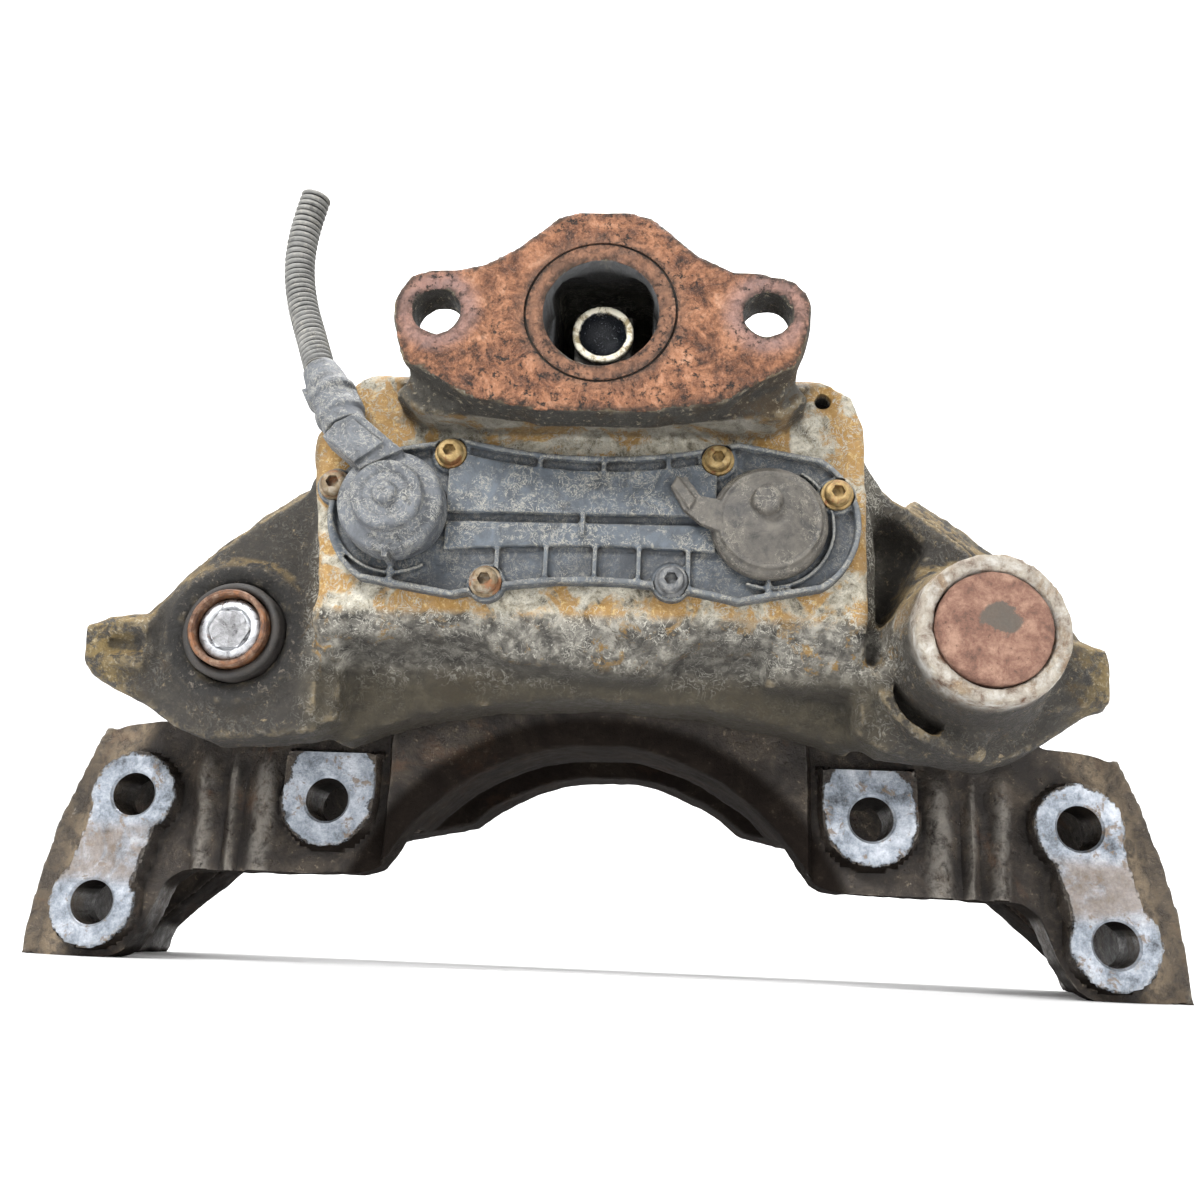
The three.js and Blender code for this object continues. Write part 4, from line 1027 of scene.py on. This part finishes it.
# ---------- adjuster cover ----------
def waist(x):
    """Half height of the cover's waist at x."""
    return 24.5 + 6.5 * (x / 52) ** 2


def cover_outline(inset):
    right = arc(29.5 - inset, -58, 58, 24, 67, 164)
    left = arc(29.5 - inset, 122, 238, 24, -71, 164)
    spans = [52 - 104 * i / 26 for i in range(27)]
    top = [(x, 164 + waist(x) - inset) for x in spans]
    bottom = [(-x, 164 - waist(x) + inset) for x in spans]
    return right + top + left + bottom


def adjuster_cover():
    def build(bm):
        raw_prism(bm, cover_outline(0), -66, -62.9)
        raw_frame(bm, cover_outline(0), cover_outline(2.0), -69.9, -63)
        for x, _, z in SCREWS:
            raw_round(bm, x, z, 7.2, -67.5, -62.9, 40)
        # two raised channels with a groove between them
        spans = [-56 + 100 * i / 20 for i in range(21)]
        upper = [(x, 165.6) for x in spans] + [(x, 158 + waist(x)) for x in spans[::-1]]
        lower = [(x, 153.5 - 2.5 * (x / 56) ** 2) for x in spans] + [(x, 162.4) for x in spans[::-1]]
        raw_prism(bm, upper, -69.6, -64)
        raw_prism(bm, lower, -68.7, -64)
        raw_box(bm, -6, -4.2, -70, -64, 157, 172)
        for x in (-36, -18, 0, 16, 34):
            raw_box(bm, x - 0.8, x + 0.8, -69, -64, 164 - waist(x), 154)
        for x in (-22, 2, 26):
            raw_box(bm, x - 0.8, x + 0.8, -70, -64, 176, 164 + waist(x))
        for x, z, start, stop in ((SENSOR_X, SENSOR_Z, 110, 300), (CAP_X, CAP_Z, -110, 60)):
            raw_prism(bm, arc(24.4, start, stop, 30, x, z) + arc(23.2, stop, start, 30, x, z), -69, -64)
            raw_box(bm, x - 0.8, x + 0.8, -70, -64, 136.5, 147)

    made = moulding("adjuster_cover_moulding", build, COVER, 0.62, 2, 0.12, ((140, 1.0), (600, 0.5)))

    def wells(bm):
        for x, _, z in SCREWS:
            raw_turned(bm, [(0, -80), (6.7, -80), (6.5, -67.5), (0, -67.5)], x, z, 40)
            raw_round(bm, x, z, 3.4, -70, -60, 24)

    drill(made, wells)
    return settle(made, "caliper", "plastic", "adjuster_cover")


def adjuster_cap():
    def build(bm):
        raw_turned(bm, [
            (0, -80), (6, -80.2), (8, -79.6), (18.2, -74.9), (20.4, -73.4), (21.3, -71.6),
            (21.3, -67.8), (0, -67.8),
        ], CAP_X, CAP_Z, 96)
        nub = [(0, -83.8), (3.8, -84), (5, -83.2), (5.4, -82), (6.2, -77), (0, -76)]
        raw_turned(bm, nub, CAP_X - 1.5, CAP_Z + 5, 48)
        raw_turned(bm, [(17.6, -75.9), (18.6, -75.7), (19.2, -74), (17, -73)], CAP_X, CAP_Z, 96)
        tab = [(29, 179), (27, 175), (32, 166), (38, 161), (45, 158), (47, 170), (38, 171.5), (33, 178.5)]
        raw_prism(bm, tab, -75, -71.8)
        ridge = [(27.6, 175), (29.4, 178.6), (34, 166), (36, 170)]
        raw_hull(bm, [(x, y, z) for x, z in ridge for y in (-76.2, -72)])

    made = moulding("adjuster_cap_moulding", build, CAP_PLASTIC, 0.5, 2, 0.15, ((110, 1.0), (500, 0.3)))
    return settle(made, "caliper", "plastic", "adjuster_cap")


# ---------- wear sensor, its connector and conduit ----------
CONDUIT_ROUTE = [
    (-109.6, -69, 222.6),
    (-112.2, -67, 229),
    (-117, -63.6, 241),
    (-121.6, -61.2, 253),
    (-124.9, -60, 266),
    (-125.9, -60, 278),
    (-124.9, -60, 291),
    (-122.3, -60, 305),
]
CONDUIT_D = 12.2
SLEEVE_ROUTE = [(-94.6, -76, 194.4), (-98, -74.5, 201), (-103.5, -72, 211.5), (-109.3, -69.4, 221.9)]


def wear_sensor():
    def build(bm):
        raw_turned(bm, [
            (0, -87), (7.6, -87), (8.2, -86.5), (9, -87.4), (11.8, -87.5), (12.9, -86.8),
            (13.2, -85.8), (13.3, -82.4), (14.2, -81.6), (17.6, -81), (18.9, -80.2), (19.6, -78.4),
            (19.6, -67.8), (0, -67.8),
        ], SENSOR_X, SENSOR_Z, 96)
        nub = [(0, -89.3), (3.2, -89.5), (4.2, -88.8), (4.6, -86.5), (0, -86)]
        raw_turned(bm, nub, SENSOR_X, SENSOR_Z, 48)
        raw_prism(bm, [(-86, 176), (-101, 188.5), (-97, 194), (-89, 198.5), (-71, 184)], -83.5, -70)
        crown = [(-88, 178), (-98, 187), (-90, 195), (-78, 186)]
        raw_hull(bm, [(x, y, z) for x, z in crown for y in (-85, -74)])
        raw_box(bm, SENSOR_X - 1, SENSOR_X + 1, -80, -68, SENSOR_Z - 21.5, SENSOR_Z - 17)

    made = moulding("wear_sensor_moulding", build, SENSOR, 0.5, 2, 0.14, ((120, 1.0), (520, 0.4)))
    return settle(made, "caliper", "plastic", "wear_sensor_housing")


def connector():
    """Elbow and stepped collar that taper from the sensor to the conduit."""
    line = smooth_line(SLEEVE_ROUTE, 24)
    steps = [
        (0, 8.4), (5, 8.2), (6, 9.4), (9.2, 9.4), (10, 8.5), (15, 8.3), (16, 9.6), (18.4, 9.7),
        (19.4, 8.8), (25, 8), (31, 6.9), (60, 6.9),
    ]

    def radius(distance):
        for (d0, r0), (d1, r1) in zip(steps, steps[1:]):
            if distance <= d1:
                return r0 + (r1 - r0) * (distance - d0) / (d1 - d0)
        return steps[-1][1]

    def build(bm):
        raw_swept(bm, line, radius, 40)
        collar, ahead = line[42], (line[44] - line[42]).normalized()
        for offset in (-9.4, 9.4):
            block = [collar + ahead * a + Vector((offset, 0, 0)) + Vector((u, v, 0))
                     for a in (-4, 3) for u in (-1.2, 1.2) for v in (-3.5, 3.5)]
            raw_hull(bm, [tuple(p) for p in block])

    made = moulding("sensor_connector", build, SENSOR, 0.5, 1, 0.12, ((150, 1.0), (600, 0.4)))
    return settle(made, "caliper", "plastic", "connector_sleeve")


def corrugated_conduit():
    pitch = 2.45

    def radius(distance):
        wave = abs(math.cos(math.pi * distance / pitch)) ** 0.7
        return CONDUIT_D / 2 - 1.3 + 1.3 * wave

    line = smooth_line(CONDUIT_ROUTE, 44)
    made = solid("conduit", lambda bm: raw_swept(bm, line, radius, 36, 4.4), CONDUIT, 60)
    made.data.materials.append(GROOVE)
    for face in made.data.polygons[:36 * (len(line) - 1)]:
        ring = face.index // 36
        travelled = sum((b - a).length for a, b in zip(line[:ring + 1], line[1:ring + 1])) + 0.2
        if radius(travelled) < CONDUIT_D / 2 - 0.75:
            face.material_index = 1
    settle(made, "caliper", "plastic", "sensor_conduit")
    path = [at(*p) for p in smooth_line(CONDUIT_ROUTE, 4)]
    return made


# ---------- fasteners and guide parts ----------
SCREW_FINISH = {1: ZINC, 2: OLD_ZINC, 3: ZINC, 4: ZINC, 5: OLD_ZINC, 6: DULL}


def cover_screw(number):
    x, _, z = SCREWS[number - 1]

    def build(bm):
        raw_turned(bm, [
            (0, -72.7), (3.3, -72.7), (4.3, -72.3), (4.9, -71.3), (4.9, -69.1), (5.8, -69), (6.05, -68.7),
            (6.05, -68.1), (5.8, -67.8), (2.5, -67.8), (2.5, -54.5), (0, -54.5),
        ], x, z, 48)

    made = solid(f"cover_screw_head_{number}", build, SCREW_FINISH[number], 30)
    drill(made, lambda bm: raw_hexagon(bm, x, z, 4.4, -76, -70.3))
    return settle(made, "caliper", "zinc", f"cover_screw_{number}")


def short_guide_bolt():
    front = -54.3

    def build(bm):
        raw_turned(bm, [
            (0, front), (9.6, front), (11.2, front + 0.5), (12, front + 1.6), (12, front + 14),
            (7.8, front + 14), (7.8, 44), (0, 44),
        ], -PIN_X, PIN_Z, 72)

    def socket(bm):
        raw_hexagon(bm, -PIN_X, PIN_Z, 14, front - 1, front + 8)
        mouth = [(0, front - 1), (9.6, front - 1), (7.6, front + 1.1), (0, front + 1.1)]
        raw_turned(bm, mouth, -PIN_X, PIN_Z, 72)
        raw_turned(bm, [(0, front + 6), (5, front + 6), (0, front + 10.5)], -PIN_X, PIN_Z, 40)

    made = solid("short_guide_bolt", build, BRIGHT, 30)
    drill(made, socket)
    return settle(made, "carrier", "machined_steel", "guide_bolt_short")


def short_guide_sleeve():
    def corroded(r, y, a):
        return r + 0.1 * noise.noise(Vector((3 * math.cos(a), 3 * math.sin(a), y / 4))), y

    def build(bm):
        raw_turned(bm, [
            (12.7, -56.2), (13.3, -57), (14.4, -57), (15, -56.3), (15, -0.3), (8.4, -0.3), (8.4, -40),
            (12.7, -40),
        ], -PIN_X, PIN_Z, 96, corroded)

    made = solid("short_guide_sleeve", build, RUSTY, 30)
    return settle(made, "carrier", "rusty_steel", "guide_sleeve_short")


def rubber_bush():
    def lip(r, y, a):
        if y > -49:
            return r, y
        swell = 0.25 * noise.noise(Vector((2 * math.cos(a), 2 * math.sin(a), 5)))
        return r + swell, y - 0.5 * math.cos(a - 5.4)

    def build(bm):
        raw_turned(bm, [
            (15.35, -50.5), (15.5, -52), (16.2, -52.9), (17.3, -53.1), (18.4, -52.5), (19, -51.2),
            (18.6, -50.2), (19, -49.2), (19, -17), (15.35, -17),
        ], -PIN_X, PIN_Z, 96, lip)

    return settle(solid("guide_bush", build, RUBBER, 50), "caliper", "rubber", "guide_bush_rubber")


def pressed_cap():
    def build(bm):
        raw_turned(bm, [
            (0, -86.5), (9, -86.6), (17.6, -86.8), (18.6, -86.6), (19.6, -85.7), (20, -84.6), (20, -79),
            (17.8, -79), (17.8, -84.4), (0, -84.4),
        ], PIN_X, PIN_Z, 96)

    made = moulding("pressed_guide_cap", build, CAP, 0.6, 1, 0.25, ((90, 1.0), (400, 0.5), (900, 0.3)))
    return settle(made, "caliper", "rusty_steel", "guide_cap")


def folded_profile(inner, outer, y0, y1, folds, wall=0.9):
    """Closed profile of a bellows."""
    steps = folds * 12
    outside = []
    inside = []
    for i in range(steps + 1):
        wave = 0.5 - 0.5 * math.cos(2 * math.pi * folds * i / steps)
        y = y0 + (y1 - y0) * i / steps
        outside.append((inner + wall + (outer - inner - wall) * wave, y))
        inside.insert(0, (inner + (outer - inner - 2 * wall) * wave, y))
    return outside + inside


def guide_bellows(word, x, inner, outer):
    made = solid(
        f"guide_bellows_{word}_folds",
        lambda bm: raw_turned(bm, folded_profile(inner, outer, -14, -0.4, 3), x, PIN_Z, 64), RUBBER, 180,
    )
    ends = (x, -13.6, PIN_Z), (x, -0.8, PIN_Z)
    return flex(made, "rubber", ("caliper", "carrier"), *ends, f"guide_bellows_{word}")


def tappet_boot(word):
    x, _, z = middle(f"tappet_{word}")
    made = solid(
        f"tappet_boot_{word}_folds",
        lambda bm: raw_turned(bm, folded_profile(15.7, 21.4, 8.9, 11.7, 2, 0.5), x, z, 64), RUBBER, 180,
    )
    ends = (x, 9.1, z), (x, 11.6, z)
    return flex(made, "rubber", ("bridge", f"tappet_{word}"), *ends, f"tappet_boot_{word}")


def return_spring():
    """Three turns of wire between the bridge and the base plate."""
    x, _, z = middle("return_spring")
    line = []
    for i in range(145):
        a = 2 * math.pi * 3 * i / 144
        rise = smooth_share(i / 144, 0.08, 0.92)
        line.append(Vector((x + 11.5 * math.cos(a), 5 + 2.7 * rise, z + 11.5 * math.sin(a))))
    made = solid("return_spring_coil", lambda bm: raw_swept(bm, line, lambda d: 0.42, 10), STEEL, 60)
    return flex(made, "steel", ("bridge", "caliper"), (x, 5, z), (x, 7.8, z), "return_spring")


def forged_lever():
    def build(bm):
        raw_copy(bm, "lever")

    made = moulding("forged_lever", build, LEVER, 0.7, 1, 0.2, ((110, 1.0), (420, 0.4)))
    return settle(made, "lever", "steel", "lever")


def spring_clip():
    """Wire clip through the end of the retainer pin."""
    z = middle("retainer_pin")[2]
    route = [(-26.2, 144, z), (-26.2, 150, z), (-26.2, 158, z), (-26.9, 161.6, z), (-28.8, 162.6, z),
             (-30.7, 161.2, z), (-31.1, 157, z), (-30.4, 152, z), (-31.3, 146.5, z)]
    line = smooth_line(route, 10)
    made = solid("wire_clip", lambda bm: raw_swept(bm, line, lambda d: 0.78, 16), STEEL, 60)
    return settle(made, "caliper", "steel", "retainer_clip")


carrier_casting()
housing_casting()
adjuster_cover()
adjuster_cap()
wear_sensor()
connector()
corrugated_conduit()
for number in range(1, 7):
    cover_screw(number)
short_guide_bolt()
short_guide_sleeve()
rubber_bush()
pressed_cap()
guide_bellows("short", -PIN_X, 15.3, 21.2)
guide_bellows("long", PIN_X, 17.3, 23.2)
tappet_boot("left")
tappet_boot("right")
return_spring()
forged_lever()
spring_clip()

# CAD pieces that stay as they are, with rounded edges and a finish of their own
KEPT = [
    (STEEL, [
        "guide_sleeve_long", "bridge", "threaded_tube_left", "threaded_tube_right", "tappet_left",
        "tappet_right", "sprocket_left", "sprocket_right", "adjuster_chain", "base_plate",
        "pad_spring_inboard", "pad_spring_outboard", "pad_retainer",
    ]),
    (BRIGHT, ["guide_bolt_long", "lever_roller"]),
    (BRASS, [
        "guide_bush_front", "guide_bush_rear", "bearing_shell_left", "bearing_shell_right", "adjuster_unit",
    ]),
    (RUBBER, ["cover_gasket"]),
    (ZINC, ["retainer_pin"]),
    (CARRIER, ["pad_backplate_inboard", "pad_backplate_outboard"]),
    (LINING, ["pad_lining_inboard", "pad_lining_outboard"]),
]
for finish, names in KEPT:
    for name in names:
        kept = nodes[name]
        kept.material_slots[0].link = "OBJECT"
        kept.material_slots[0].material = finish
        bevel = kept.modifiers.new("edges", "BEVEL")
        bevel.width = 0.0004
        bevel.segments = 2
        bevel.limit_method = "ANGLE"
        bevel.angle_limit = math.radians(40)
